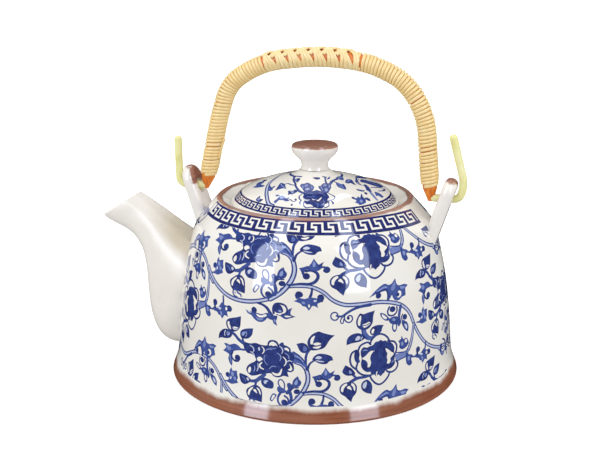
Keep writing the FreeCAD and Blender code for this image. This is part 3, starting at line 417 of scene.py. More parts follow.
    # --- flourish right of flower B (F5) ------------------------------------------------------
    g.line(0.9, [0.9, 1.1], "71.6 27.8, 71.2 26, 70.2 23.8")
    g.fill(0.8, "58.4 26.2, 60 25, 61.6 24.5, 62.6 23.2, 61.2 22.6, 61.6 20.4, 60 19.5, 58.4 20.8, 58.0 22.8")
    g.fill(0.4, "59.4 24.2, 60.6 23.6, 60 22, 59.2 22.4")
    g.line(0.84, [0.7, 1.0], "62 23.3, 63.4 22.9, 65.4 23")
    g.fill(0.8, "63 23.2!, 64.8 24, 66.4 23.2, 68.4 24.2, 70 25.2, 71.4 24.2, 73 23.6, 74.4 22.6, 73.4 21.4, 72 21.2, 71.8 19!, 70.2 19.8, 69.6 19.4, 68.3 18.2!, 67.6 19.8, 66.6 20.2, 66 21.4, 64.6 22")
    g.dot(D, 65.8, 25.8, 1.4)
    g.line(D, [1.2, 1.0], "65 25, 65.4 23.4")
    g.dot(D, 73.5, 22.6, 1.4)
    g.fill(P, "66.4 23.8, 67.8 23.6, 69 22.6, 67.6 22.4")
    g.fill(0.4, "68 21.8, 69 21, 68.5 19.6, 67.9 20.6")
    g.dot(W, 71.8, 22.6, 0.55, 0.8, -30)
    return g.items, f3


# the print was laid on as a flat sheet, so one repeat is moved over a plane
# that is then wrapped on the tapering wall
U_REF, CONE, APEX, RAD = 55.0, 428.0, 473.0, 64.0
STEP_H, STEP_V = (97.0, 17.5), (0.0, 48.0)


def to_sheet(q):
    ang, rho = (q[:, 0] - U_REF) / CONE, APEX - q[:, 1]
    x, y = rho * np.sin(ang), APEX - rho * np.cos(ang)
    k = 0.0016 * (y - 27.0)
    return np.stack([(x - 32.0 * k) / (1.0 + k), y], 1)


def from_sheet(q):
    k = 0.0016 * (q[:, 1] - 27.0)
    x, y = q[:, 0] + k * (q[:, 0] + 32.0), q[:, 1]
    rho = np.hypot(x, APEX - y)
    return np.stack([U_REF + CONE * np.arctan2(x, APEX - y), APEX - rho], 1)


# where the sheet was stretched a little as it was smoothed on to the wall
LAY_U = (-76, -60, -50, -42, -30, -14, 6, 30, 54, 66, 76, 88)
LAY_S = (14, 30, 46, 58, 66, 78)
LAY_DU = np.array([
    (3.4, 3.1, 1.5, 0.5, -0.1, -0.2, 0.0, -0.1, 0.0, 0.2, 0.4, 0.2),
    (3.2, 2.9, 1.6, 0.5, 0.1, 0.0, -0.1, 0.0, -0.2, -0.3, -0.7, -0.8),
    (3.0, 2.8, 1.9, 1.2, 0.1, -0.2, 0.2, 0.0, 0.2, -0.7, -1.2, -1.1),
    (2.7, 2.6, 1.4, 0.2, -0.9, -1.1, -0.3, -0.2, 0.4, -0.6, -1.2, -1.0),
    (2.0, 1.8, 0.7, -0.5, -1.1, -1.2, -0.7, -0.3, 0.1, -0.5, -1.0, -1.0),
    (0.6, 0.3, -0.9, -1.1, -0.9, -1.0, -0.8, -0.2, -0.1, -0.3, -0.7, -0.9)])
LAY_DS = np.array([
    (-3.7, -3.4, -1.5, -0.3, 0.0, 0.0, 0.0, 0.0, 0.0, 0.0, -0.2, -0.5),
    (-3.1, -2.8, -1.0, 0.0, 0.0, -0.1, 0.0, -0.1, -0.2, -0.4, -0.7, -1.2),
    (-2.1, -1.9, -1.0, -0.3, 0.4, 0.1, -0.2, -0.2, -0.3, -0.2, -0.7, -1.3),
    (-1.1, -1.0, -0.2, 0.5, 1.1, 0.6, -0.3, -0.3, -0.4, -0.6, -1.0, -1.4),
    (0.3, 0.5, 0.9, 1.2, 1.3, 0.8, -0.2, -0.4, -0.5, -0.8, -1.1, -1.4),
    (0.7, 0.8, 0.9, 1.2, 1.1, 0.7, -0.1, -0.4, -0.8, -1.1, -1.4, -1.5)])


def laid(q):
    a = np.interp(q[:, 0], LAY_U, np.arange(len(LAY_U)))
    b = np.interp(q[:, 1], LAY_S, np.arange(len(LAY_S)))
    i, j = np.minimum(a.astype(int), len(LAY_U) - 2), np.minimum(b.astype(int), len(LAY_S) - 2)
    a, b = a - i, b - j
    pull = [(1 - b) * ((1 - a) * t[j, i] + a * t[j, i + 1]) + b * ((1 - a) * t[j + 1, i] + a * t[j + 1, i + 1]) for t in (LAY_DU, LAY_DS)]
    return q + np.stack(pull, 1)


FRET_U = (-70, -45, -30, -10, 0, 20, 50, 60, 70, 80, 89)
FRET_LOW = (82.4, 82.35, 82.45, 82.7, 82.85, 82.75, 81.95, 81.5, 81.0, 80.5, 80.0)
FRET_TOP = (90.0, 90.0, 90.0, 90.0, 90.0, 90.0, 89.9, 89.6, 89.1, 88.5, 87.8)


def key_fret(u0, u1, first, period, n):
    """Key fret from u0 to u1 as outlines in (u, s), with n motifs from first
    on; the band sags a little at its ends."""
    out = []
    f = period / 9.7

    def slab(x0, y0, x1, y1, tone=N):
        k = max(2, int(abs(x1 - x0) / 1.6) + 1)
        xs = np.linspace(x0, x1, k)
        low, top = np.interp(xs, FRET_U, FRET_LOW), np.interp(xs, FRET_U, FRET_TOP)
        at = lambda y: np.stack([xs, low + (y - 83.0) / 7.15 * (top - low)], 1)
        out.append((tone, np.vstack([at(y0), at(y1)[::-1]])))

    slab(u0, 82.9, u1, 90.15, W)
    slab(u0, 83.0, u1, 84.4)
    slab(u0, 89.2, u1, 90.15)
    slab(u0, 83.0, u0 + 1.1, 90.15)
    slab(u1 - 1.6, 83.0, u1, 90.15)
    for i in range(n):
        b = first + i * period
        slab(b + 0.8 * f, 85.3, b + 3.2 * f, 89.9)
        slab(b + 0.8 * f, 85.3, b + 5.4 * f, 86.4)
        slab(b + 6.8 * f, 83.5, b + 9.2 * f, 88.5)
        slab(b + 4.3 * f, 87.45, b + 9.2 * f, 88.5)
    return out


# ---------------------------------------------------------------------------
# profiles
# ---------------------------------------------------------------------------
class Profile:
    """A natural cubic through (r, z) points by chord length."""

    def __init__(self, pts, tail=()):
        p = np.array(pts, float)
        t = np.concatenate([[0], np.cumsum(np.hypot(*np.diff(p, axis=0).T))])
        n = len(p)
        h = np.diff(t)
        a = np.zeros((n, n))
        b = np.zeros((n, 2))
        a[0, 0] = a[-1, -1] = 1
        for i in range(1, n - 1):
            a[i, i - 1:i + 2] = h[i - 1], 2 * (h[i - 1] + h[i]), h[i]
            b[i] = 6 * ((p[i + 1] - p[i]) / h[i] - (p[i] - p[i - 1]) / h[i - 1])
        m = np.linalg.solve(a, b)
        tt = np.linspace(0, t[-1], 900)
        i = np.clip(np.searchsorted(t, tt, side="right") - 1, 0, n - 2)
        x0, x1, hh = (tt - t[i])[:, None], (t[i + 1] - tt)[:, None], h[i][:, None]
        q = (m[i] * x1 ** 3 + m[i + 1] * x0 ** 3) / (6 * hh) + (p[i] / hh - m[i] * hh / 6) * x1 + (p[i + 1] / hh - m[i + 1] * hh / 6) * x0
        for e in tail:
            q = np.vstack([q, q[-1] + (np.array(e) - q[-1]) * np.linspace(0, 1, 12)[1:, None]])
        self.rz = q
        self.s = np.concatenate([[0], np.cumsum(np.hypot(*np.diff(q, axis=0).T))])
        d = np.gradient(q, self.s, axis=0)
        d /= np.linalg.norm(d, axis=1)[:, None]
        self.nor = np.stack([d[:, 1], -d[:, 0]], 1)
        self.log = np.concatenate([[0], np.cumsum(np.diff(self.s) / (0.5 * (q[1:, 0] + q[:-1, 0])))])

    def at(self, s):
        return np.interp(s, self.s, self.rz[:, 0]), np.interp(s, self.s, self.rz[:, 1])

    def normal(self, s):
        n = np.stack([np.interp(s, self.s, self.nor[:, 0]), np.interp(s, self.s, self.nor[:, 1])], 1)
        return n / np.linalg.norm(n, axis=1)[:, None]


OUTER = Profile([
    (70.3, 1.3), (69.5, 3.5), (68.5, 6.0), (67.65, 9.0), (66.95, 14.0), (66.35, 22.0), (65.5, 32.0), (64.35, 42.0),
    (62.75, 52.0), (61.05, 60.0), (59.6, 66.0), (58.2, 71.0), (56.3, 75.2), (53.25, 79.0), (50.1, 82.5), (47.5, 85.4),
], tail=[(46.6, 86.3)])
LID = Profile([
    (39.0, 84.95), (37.5, 86.5), (36.0, 87.95), (33.5, 89.6), (30.0, 91.3), (26.0, 92.8), (21.0, 94.3), (15.0, 95.7),
    (11.5, 96.6), (9.5, 97.45), (8.0, 98.35), (6.95, 99.4)])


# ---------------------------------------------------------------------------
# a CAD node's mesh with one smooth skin cut out and drawn anew with a print
# ---------------------------------------------------------------------------
def cad_mesh(node):
    m = NODES[node].data
    co = np.empty(len(m.vertices) * 3)
    m.vertices.foreach_get("co", co)
    co = co.reshape(-1, 3) * 1000.0
    loops = np.empty(len(m.loops), int)
    m.loops.foreach_get("vertex_index", loops)
    nor = np.empty(len(m.loops) * 3)
    m.corner_normals.foreach_get("vector", nor)
    key, back = np.unique(np.round(co, 3), axis=0, return_inverse=True)
    back = back.reshape(-1)
    tri = back[loops].reshape(-1, 3)
    nor = nor.reshape(-1, 3, 3)
    good = (tri[:, 0] != tri[:, 1]) & (tri[:, 1] != tri[:, 2]) & (tri[:, 0] != tri[:, 2])
    return key, tri[good], nor[good]


def boundary_loops(tri):
    edges = {}
    for a, b, c in tri.tolist():
        for e in ((a, b), (b, c), (c, a)):
            edges[e] = edges.get(e, 0) + 1
    nxt = {}
    for (a, b) in edges:
        if (b, a) not in edges:
            nxt[a] = b
    loops = []
    while nxt:
        start = next(iter(nxt))
        loop, cur = [start], nxt.pop(start)
        while cur != start and cur in nxt:
            loop.append(cur)
            cur = nxt.pop(cur)
        loops.append(loop)
    return loops


def printed_skin(node, name, is_skin, to_flat, from_flat, shapes, grid):
    """Rebuilds node: the triangles picked by is_skin are replaced by a
    triangulation that follows the outlines in shapes; the rest is kept."""
    co, tri, nor = cad_mesh(node)
    skin = is_skin(co, tri)
    rest, rest_nor = tri[~skin], nor[~skin]
    loops = boundary_loops(tri[skin])
    flat_b = [to_flat(co[lp]) for lp in loops]
    verts, edges, origin = [], [], []

    def add_loop(q, ids):
        n0 = len(verts)
        verts.extend(Vector((float(x), float(y))) for x, y in q)
        origin.extend(ids)
        k = len(q)
        edges.extend((n0 + i, n0 + (i + 1) % k) for i in range(k))

    for lp, q in zip(loops, flat_b):
        add_loop(q, lp)
    n_keep = len(verts)
    for _, q in shapes:
        add_loop(q, [-1] * len(q))
    verts.extend(Vector((float(x), float(y))) for x, y in grid)
    origin.extend([-1] * len(grid))
    vs, _, fs, ov, _, _ = delaunay_2d_cdt(verts, edges, [], 0, 1e-4, True)
    q = np.array([(v.x, v.y) for v in vs])
    f = np.array([x for x in fs if len(x) == 3], int)
    cen = q[f].mean(1)
    area = [abs(0.5 * np.sum(b[:, 0] * np.roll(b[:, 1], -1) - b[:, 1] * np.roll(b[:, 0], -1))) for b in flat_b]
    big = int(np.argmax(area))
    ok = inside(flat_b[big], cen)
    for i, b in enumerate(flat_b):
        if i != big:
            lo, hi = b.min(0), b.max(0)
            near = np.where(((cen >= lo) & (cen <= hi)).all(1))[0]
            ok[near[inside(b, cen[near])]] = False
    f, cen = f[ok], cen[ok]
    ink = np.zeros(len(f))
    for tone, poly in shapes:
        lo, hi = poly.min(0), poly.max(0)
        near = np.where(((cen >= lo) & (cen <= hi)).all(1))[0]
        if len(near):
            ink[near[inside(poly, cen[near])]] = tone
    # 3-D places: CAD vertices where there is one, the true surface elsewhere
    pos, nrm = from_flat(q)
    home = np.full(len(q), -1)
    for i, ids in enumerate(ov):
        for j in ids:
            if j < n_keep:
                home[i] = origin[j]
                break
    index = np.where(home >= 0, home, 0)
    new = np.where(home < 0)[0]
    index[new] = len(co) + np.arange(len(new))
    all_co = np.vstack([co, pos[new]])
    f3 = index[f]
    fn = np.cross(all_co[f3[:, 1]] - all_co[f3[:, 0]], all_co[f3[:, 2]] - all_co[f3[:, 0]])
    flip = np.einsum("ij,ij->i", fn, nrm[f].mean(1)) < 0
    f3[flip] = f3[flip][:, ::-1]
    fq = f.copy()
    fq[flip] = fq[flip][:, ::-1]
    skin_nor = nrm[fq]
    faces = np.vstack([f3, rest])
    corner = np.vstack([skin_nor, rest_nor])
    inks = np.concatenate([ink, np.zeros(len(rest))])
    good = (faces[:, 0] != faces[:, 1]) & (faces[:, 1] != faces[:, 2]) & (faces[:, 0] != faces[:, 2])
    faces, corner, inks = faces[good], corner[good], inks[good]
    used, faces = np.unique(faces, return_inverse=True)
    faces = faces.reshape(-1, 3)
    return make_mesh(name, all_co[used], faces, corner, {"ink": ("FACE", inks)})


def make_mesh(name, co, faces, corner=None, attrs=None, smooth=True):
    """A mesh object from millimetre points and triangles or quads."""
    me = bpy.data.meshes.new(name)
    me.from_pydata((np.asarray(co) * MM).tolist(), [], np.asarray(faces).tolist() if not isinstance(faces, list) else faces)
    me.validate(clean_customdata=False)
    if smooth:
        me.polygons.foreach_set("use_smooth", [True] * len(me.polygons))
    for key, (domain, values) in (attrs or {}).items():
        a = me.attributes.new(key, "FLOAT", domain)
        a.data.foreach_set("value", np.asarray(values, np.float32))
    if corner is not None:
        me.normals_split_custom_set(np.asarray(corner).reshape(-1, 3).tolist())
    ob = bpy.data.objects.new(name, me)
    SCENE.collection.objects.link(ob)
    return ob


# ---------------------------------------------------------------------------
# materials
# ---------------------------------------------------------------------------
def srgb(r, g, b):
    def lin(v):
        v /= 255.0
        return v / 12.92 if v <= 0.04045 else ((v + 0.055) / 1.055) ** 2.4
    return (lin(r), lin(g), lin(b), 1.0)


class Mat:
    def __init__(self, name):
        self.m = bpy.data.materials.new(name)
        self.m.use_nodes = True
        self.t = self.m.node_tree
        self.b = self.t.nodes["Principled BSDF"]
        self.o = self.t.nodes["Material Output"]

    def node(self, kind, **props):
        n = self.t.nodes.new(kind)
        for k, v in props.items():
            setattr(n, k, v)
        return n

    def link(self, a, b):
        self.t.links.new(a, b)

    def sock(self, node, name, value):
        if hasattr(value, "is_output"):
            self.link(value, node.inputs[name])
        else:
            node.inputs[name].default_value = value

    def math(self, op, a, b=0.0, c=None, clamp=False):
        n = self.node("ShaderNodeMath", operation=op, use_clamp=clamp)
        self.sock(n, 0, a)
        self.sock(n, 1, b)
        if c is not None:
            self.sock(n, 2, c)
        return n.outputs[0]

    def ramp(self, value, stops, mode="LINEAR"):
        n = self.node("ShaderNodeValToRGB")
        n.color_ramp.interpolation = mode
        while len(n.color_ramp.elements) < len(stops):
            n.color_ramp.elements.new(0.5)
        for e, (p, c) in zip(n.color_ramp.elements, stops):
            e.position = p
            e.color = c if len(c) == 4 else (*c, 1)
        self.sock(n, "Fac", value)
        return n.outputs["Color"]

    def smooth(self, value, lo, hi):
        n = self.node("ShaderNodeMapRange", interpolation_type="SMOOTHSTEP")
        self.sock(n, "Value", value)
        n.inputs["From Min"].default_value = lo
        n.inputs["From Max"].default_value = hi
        return n.outputs["Result"]

    def lin(self, value, a, b, c, d):
        n = self.node("ShaderNodeMapRange")
        self.sock(n, "Value", value)
        for k, v in zip(("From Min", "From Max", "To Min", "To Max"), (a, b, c, d)):
            n.inputs[k].default_value = v
        return n.outputs["Result"]

    def mix(self, fac, a, b, mode="MIX"):
        n = self.node("ShaderNodeMix", data_type="RGBA", blend_type=mode)
        self.sock(n, 0, fac)
        self.sock(n, 6, a)
        self.sock(n, 7, b)
        return n.outputs[2]

    def coords(self, scale=(1, 1, 1)):
        c = self.node("ShaderNodeTexCoord")
        if tuple(scale) == (1, 1, 1):
            return c.outputs["Object"]
        m = self.node("ShaderNodeMapping")
        m.inputs["Scale"].default_value = scale
        self.link(c.outputs["Object"], m.inputs["Vector"])
        return m.outputs["Vector"]

    def noise(self, scale, detail=2.0, rough=0.5, vec=None, squash=(1, 1, 1)):
        n = self.node("ShaderNodeTexNoise")
        n.inputs["Scale"].default_value = scale
        n.inputs["Detail"].default_value = detail
        n.inputs["Roughness"].default_value = rough
        self.link(vec if vec is not None else self.coords(squash), n.inputs["Vector"])
        return n.outputs["Fac"]

    def attr(self, name):
        return self.node("ShaderNodeAttribute", attribute_name=name).outputs["Fac"]

    def bump(self, height, strength, distance):
        n = self.node("ShaderNodeBump")
        n.inputs["Strength"].default_value = strength
        n.inputs["Distance"].default_value = distance
        self.link(height, n.inputs["Height"])
        self.link(n.outputs["Normal"], self.b.inputs["Normal"])


CREAM_A, CREAM_B = srgb(241, 239, 233), srgb(236, 232, 225)
WARM_A, WARM_B = srgb(239, 234, 228), srgb(232, 227, 220)
# the lugs and knob carry the body's white glaze painted a little brighter: painted light
LIT_WHITE_A, LIT_WHITE_B = srgb(247, 243, 238), srgb(241, 236, 231)
IRON_A, IRON_B, IRON_C = srgb(146, 84, 58), srgb(172, 110, 82), srgb(112, 60, 40)
INK_STOPS = [(0.0, srgb(239, 237, 233)), (0.16, srgb(198, 205, 228)), (0.34, srgb(144, 158, 208)), (0.66, srgb(82, 101, 168)),
             (0.84, srgb(60, 77, 142)), (0.93, srgb(49, 63, 124)), (1.0, srgb(43, 48, 104))]


def glaze(name, pale, dim, ink=False, iron=None, shine=(0.05, 0.09), painted_shade_and_highlight=None, level=0.5):
    """Clear glaze over a warm white body.  iron(mat, coords) gives the mask of
    the brown wash and where it is darker, on the pot's lip a painted shadow;
    ink reads the print from the mesh; a third function may add painted
    shade and a painted highlight."""
    m = Mat(name)
    xyz = m.node("ShaderNodeSeparateXYZ")
    m.link(m.coords(), xyz.inputs[0])
    cloud = m.noise(28.0, 3.0)
    base = m.mix(m.smooth(cloud, 0.35, 0.7), pale, dim)
    if ink:
        tone = m.attr("ink")
        pooling_and_painted_shade = m.noise(420.0, 3.0, 0.6)
        tone = m.math("MULTIPLY", tone, m.lin(pooling_and_painted_shade, 0.25, 0.75, 0.90, 1.10), clamp=True)
        colour = m.ramp(tone, INK_STOPS)
        base = m.mix(m.smooth(m.attr("ink"), 0.0, 0.05), base, colour)
    speck = m.noise(1500.0, 1.0)
    base = m.mix(m.math("MULTIPLY", m.smooth(speck, 0.80, 0.84), 0.35), base, srgb(150, 112, 84))
    rough = m.lin(m.noise(90.0, 3.0), 0.3, 0.7, *shine)
    # painted shade in beige and a painted highlight in near white, for the spout
    if painted_shade_and_highlight is not None:
        pooling_and_painted_shade, ridge = painted_shade_and_highlight(m, xyz)
        base = m.mix(pooling_and_painted_shade, base, srgb(203, 191, 166))
        base = m.mix(ridge, base, srgb(252, 250, 246))
    if iron is not None:
        mask, edge = iron(m, xyz)
        streak = m.noise(60.0, 4.0, 0.65, squash=(0.35, 0.35, 9.0))
        brown = m.ramp(streak, [(0.25, IRON_C), (0.45, IRON_A), (0.72, IRON_B)])
        # darker brown where iron gives it; along the pot's lip this is a painted shadow
        if edge is not None:
            brown = m.mix(edge, brown, srgb(84, 50, 38))
        base = m.mix(mask, base, brown)
        rough = m.math("ADD", rough, m.math("MULTIPLY", mask, 0.04))
    m.sock(m.b, "Base Color", base)
    m.b.inputs["Specular IOR Level"].default_value = level
    m.sock(m.b, "Roughness", rough)
    m.b.inputs["IOR"].default_value = 1.5
    m.bump(m.noise(55.0, 2.0), 0.25, 0.0006)
    return m.m


def pot_iron(m, xyz):
    wob = m.lin(m.noise(70.0, 4.0, 0.6, squash=(1, 1, 0.4)), 0.3, 0.7, -0.0011, 0.0011)
    z = m.math("ADD", xyz.outputs["Z"], wob)
    foot = m.smooth(z, 0.0076, 0.0046)
    x2 = m.math("POWER", xyz.outputs["X"], 2.0)
    y2 = m.math("POWER", xyz.outputs["Y"], 2.0)
    r = m.math("SQRT", m.math("ADD", x2, y2))
    lip = m.math("MULTIPLY", m.smooth(m.math("ADD", xyz.outputs["Z"], m.math("MULTIPLY", wob, 0.35)), 0.0856, 0.0863), m.smooth(r, 0.0425, 0.0436))
    fade = m.lin(m.noise(40.0, 3.0), 0.3, 0.75, 0.80, 1.0)
    # the lip's wash is painted paler on the near side, a painted highlight,
    #     and darker along its inner edge next to the lid, a painted shadow
    near_side_highlight = m.lin(m.math("ADD", xyz.outputs["Y"], m.math("MULTIPLY", wob, 6.0)), -0.040, 0.004, 0.90, 1.0)
    inner = m.math("MULTIPLY", lip, m.smooth(m.math("ADD", r, m.math("MULTIPLY", wob, 0.4)), 0.0450, 0.0442))
    both = m.math("MAXIMUM", m.math("MULTIPLY", foot, m.lin(fade, 0.8, 1.0, 0.95, 1.0)), m.math("MULTIPLY", m.math("MULTIPLY", lip, near_side_highlight), fade))
    # darker brown all round the foot, and a painted shadow along the lip's inner edge
    dark = m.math("MAXIMUM", m.math("MULTIPLY", foot, 0.14), m.math("MULTIPLY", inner, 0.45))
    return both, dark


def lug_iron(m, xyz):
    # thin brown over the tops, and down the inner face of the front lug
    x, z = xyz.outputs["X"], xyz.outputs["Z"]
    wob = m.lin(m.noise(160.0, 4.0, 0.6), 0.3, 0.7, -0.0009, 0.0009)
    zw = m.math("ADD", z, wob)
    inner = m.math("ADD", m.math("MULTIPLY", m.math("SUBTRACT", z, 0.090), 0.3346), m.math("ADD", x, 0.0616))
    inner = m.math("MULTIPLY", m.smooth(m.math("ADD", inner, m.math("MULTIPLY", wob, 0.4)), 0.0016, 0.0026), m.smooth(zw, 0.0890, 0.0902))
    front = m.math("MAXIMUM", m.smooth(zw, 0.0966, 0.0976), inner)
    rear = m.math("ADD", m.math("MULTIPLY", x, 0.317), m.math("MULTIPLY", z, 0.948))
    rear = m.smooth(m.math("ADD", rear, wob), 0.1114, 0.1126)
    at_rear = m.math("GREATER_THAN", x, 0.0)
    both = m.math("ADD", m.math("MULTIPLY", rear, at_rear), m.math("MULTIPLY", front, m.math("SUBTRACT", 1.0, at_rear)))
    return m.math("MULTIPLY", both, 0.9), None


def knob_iron(m, xyz):
    # a darker brown ring round the rim of the top
    wob = m.lin(m.noise(150.0, 4.0, 0.6), 0.3, 0.7, -0.00022, 0.00022)
    z = m.math("ADD", xyz.outputs["Z"], wob)
    x2 = m.math("POWER", xyz.outputs["X"], 2.0)
    y2 = m.math("POWER", xyz.outputs["Y"], 2.0)
    r = m.math("ADD", m.math("SQRT", m.math("ADD", x2, y2)), wob)
    rim = m.math("MULTIPLY", m.smooth(r, 0.0090, 0.0097), m.smooth(r, 0.0108, 0.0102))
    return m.math("MULTIPLY", m.smooth(z, 0.1099, 0.1105), 0.90), m.math("MULTIPLY", rim, 0.50)


def spout_painted_shade_and_highlight(m, xyz):
    # painted shade: a beige darkening on the spout's back near where it meets the wall
    x2 = m.math("POWER", xyz.outputs["X"], 2.0)
    y2 = m.math("POWER", xyz.outputs["Y"], 2.0)
    r = m.math("SQRT", m.math("ADD", x2, y2))
    up = m.node("ShaderNodeSeparateXYZ")
    m.link(m.node("ShaderNodeTexCoord").outputs["Normal"], up.inputs[0])
    lean = m.math("ADD", up.outputs["Z"], m.lin(m.noise(90.0, 3.0), 0.3, 0.7, -0.03, 0.03))
    near = m.math("MULTIPLY", m.smooth(r, 0.088, 0.066), m.smooth(lean, 0.30, 0.62))
    pooling_and_painted_shade = m.math("MULTIPLY", near, m.lin(m.noise(60.0, 3.0), 0.3, 0.7, 0.60, 0.88), clamp=True)
    # and a painted highlight: a pale line along the soft ridge between its back and its sides
    ridge = m.math("MULTIPLY", m.smooth(lean, 0.22, 0.31), m.smooth(lean, 0.42, 0.33))
    return pooling_and_painted_shade, m.math("MULTIPLY", ridge, 0.5)


PRINTED = glaze("printed_glaze_blue", CREAM_A, CREAM_B, ink=True, iron=pot_iron)
LID_GLAZE = glaze("lid_glaze_blue", CREAM_A, CREAM_B, ink=True)
PLAIN = glaze("plain_glaze_warm", WARM_A, WARM_B)
SPOUT = glaze("spout_glaze_warm", WARM_A, WARM_B, shine=(0.24, 0.30), painted_shade_and_highlight=spout_painted_shade_and_highlight, level=0.20)
LUG_GLAZE = glaze("lug_glaze_iron", LIT_WHITE_A, LIT_WHITE_B, iron=lug_iron)
KNOB_GLAZE = glaze("knob_glaze_iron", LIT_WHITE_A, LIT_WHITE_B, iron=knob_iron)


def dress(ob, mat):
    ob.data.materials.clear()
    ob.data.materials.append(mat)


# ---------------------------------------------------------------------------
# pot body with its print
# ---------------------------------------------------------------------------
def wall_flat(p):
    s = np.interp(p[:, 2], OUTER.rz[:, 1], OUTER.s)
    th = np.arctan2(p[:, 0], -p[:, 1])
    rho = 70.0 * np.exp(np.interp(s, OUTER.s, OUTER.log))
    return np.stack([rho * np.cos(th), rho * np.sin(th)], 1)


def wall_us_flat(q):
    s = np.clip(q[:, 1], 0, OUTER.s[-1])
    rho = 70.0 * np.exp(np.interp(s, OUTER.s, OUTER.log))
    th = q[:, 0] / RAD
    return np.stack([rho * np.cos(th), rho * np.sin(th)], 1)


def wall_from_flat(q):
    rho, th = np.hypot(q[:, 0], q[:, 1]), np.arctan2(q[:, 1], q[:, 0])
    s = np.interp(np.log(rho / 70.0), OUTER.log, OUTER.s)
    r, z = OUTER.at(s)
    n = OUTER.normal(s)
    d = np.stack([np.sin(th), -np.cos(th)], 1)
    return np.column_stack([d * r[:, None], z]), np.column_stack([d * n[:, :1], n[:, 1]])


def wall_skin(co, tri):
    r = np.hypot(co[:, 0], co[:, 1])
    z = co[:, 2]
    on = (z > 1.29) & (z < 86.31) & (np.abs(r - np.interp(z, OUTER.rz[:, 1], OUTER.rz[:, 0])) < 0.2) & (r > 46.55)
    return on[tri].all(1)


QUARTER = RAD * math.pi / 2          # u of the rear lug; the spout is at -QUARTER
S_LOW, S_HIGH = 6.9, 85.0


def clip_band(poly, axis, limit, keep_above):
    """Clips an outline against one straight line."""
    out = []
    for a, b in zip(poly, np.roll(poly, -1, axis=0)):
        ina = (a[axis] >= limit) == keep_above
        inb = (b[axis] >= limit) == keep_above
        if ina:
            out.append(a)
        if ina != inb:
            t = (limit - a[axis]) / (b[axis] - a[axis])
            out.append(a + t * (b - a))
    return np.array(out)


def wall_shapes():
    out = []
    scroll, f3 = peony_scroll()
    base = [(tone, to_sheet(q)) for tone, q in scroll]
    front = []
    for i in (-2, -1, 0, 1):
        for j in (-3, -2, -1, 0, 1, 2, 3):
            dx, dy = i * STEP_H[0] + j * STEP_V[0], i * STEP_H[1] + j * STEP_V[1]
            for k, (tone, q) in enumerate(base):
                q = from_sheet(q + np.array([dx, dy]))
                # where one repeat's stem runs on into the next, only one is drawn
                if (i < 0 and k in (2, 3)) or (i == 1 and k in (4, 5)):
                    continue
                if i == 1 and f3[0] <= k < f3[1]:
                    q = q + np.array([-3.0, 2.4])
                front.append((k, tone, laid(q)))
    front.sort(key=lambda e: e[0])
    for _, tone, q in front:
        lo, hi = q.min(0), q.max(0)
        if hi[1] < S_LOW + 0.2 or lo[1] > S_HIGH - 0.2 or hi[0] < -QUARTER or lo[0] > QUARTER:
            continue
        # the strainer inside the spout's root stays plain
        side = -QUARTER + 0.02
        if lo[0] < -QUARTER + 13.5 and lo[1] < 54.0 and hi[1] > 18.0:
            side = -QUARTER + 13.5
        # and so does the ground beside the rear lug
        top = 77.5 if q[:, 0].mean() > 86.0 else S_HIGH
        for axis, limit, above in ((1, S_LOW, True), (1, top, False), (0, QUARTER - 0.02, False), (0, side, True)):
            q = clip_band(q, axis, limit, above)
            if len(q) < 3:
                break
        if len(q) >= 3:
            out.append((tone, q))
    out += key_fret(-70.4, 89.3, -66.5, 9.61, 16)
    mirror = [(tone, np.stack([2 * QUARTER - q[:, 0], q[:, 1]], 1)) for tone, q in out]
    return [(tone, wall_us_flat(q)) for tone, q in out + mirror]


def wall_grid():
    pts = []
    rows = np.linspace(1.2, OUTER.s[-1] - 0.7, 34)
    for k, s in enumerate(rows):
        th = (np.arange(150) + 0.5 * (k % 2)) / 150 * 2 * math.pi
        pts.append(np.stack([th * RAD, np.full(150, s)], 1))
    q = np.vstack(pts)
    r, z = OUTER.at(q[:, 1])
    near_strainer = (np.cos(q[:, 0] / RAD + math.pi / 2) > 0.94) & (z > 12) & (z < 60)
    return wall_us_flat(q[~near_strainer])


pot = printed_skin("pot_body", "pot_printed", wall_skin, wall_flat, wall_from_flat, wall_shapes(), wall_grid())
dress(pot, PRINTED)
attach(pot, "pot")
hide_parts("pot_body")

for n, mat in (("pot_floor", PLAIN), ("spout", SPOUT), ("front_lug", LUG_GLAZE), ("rear_lug", LUG_GLAZE), ("lid_knob", KNOB_GLAZE)):
    dress(NODES[n], mat)


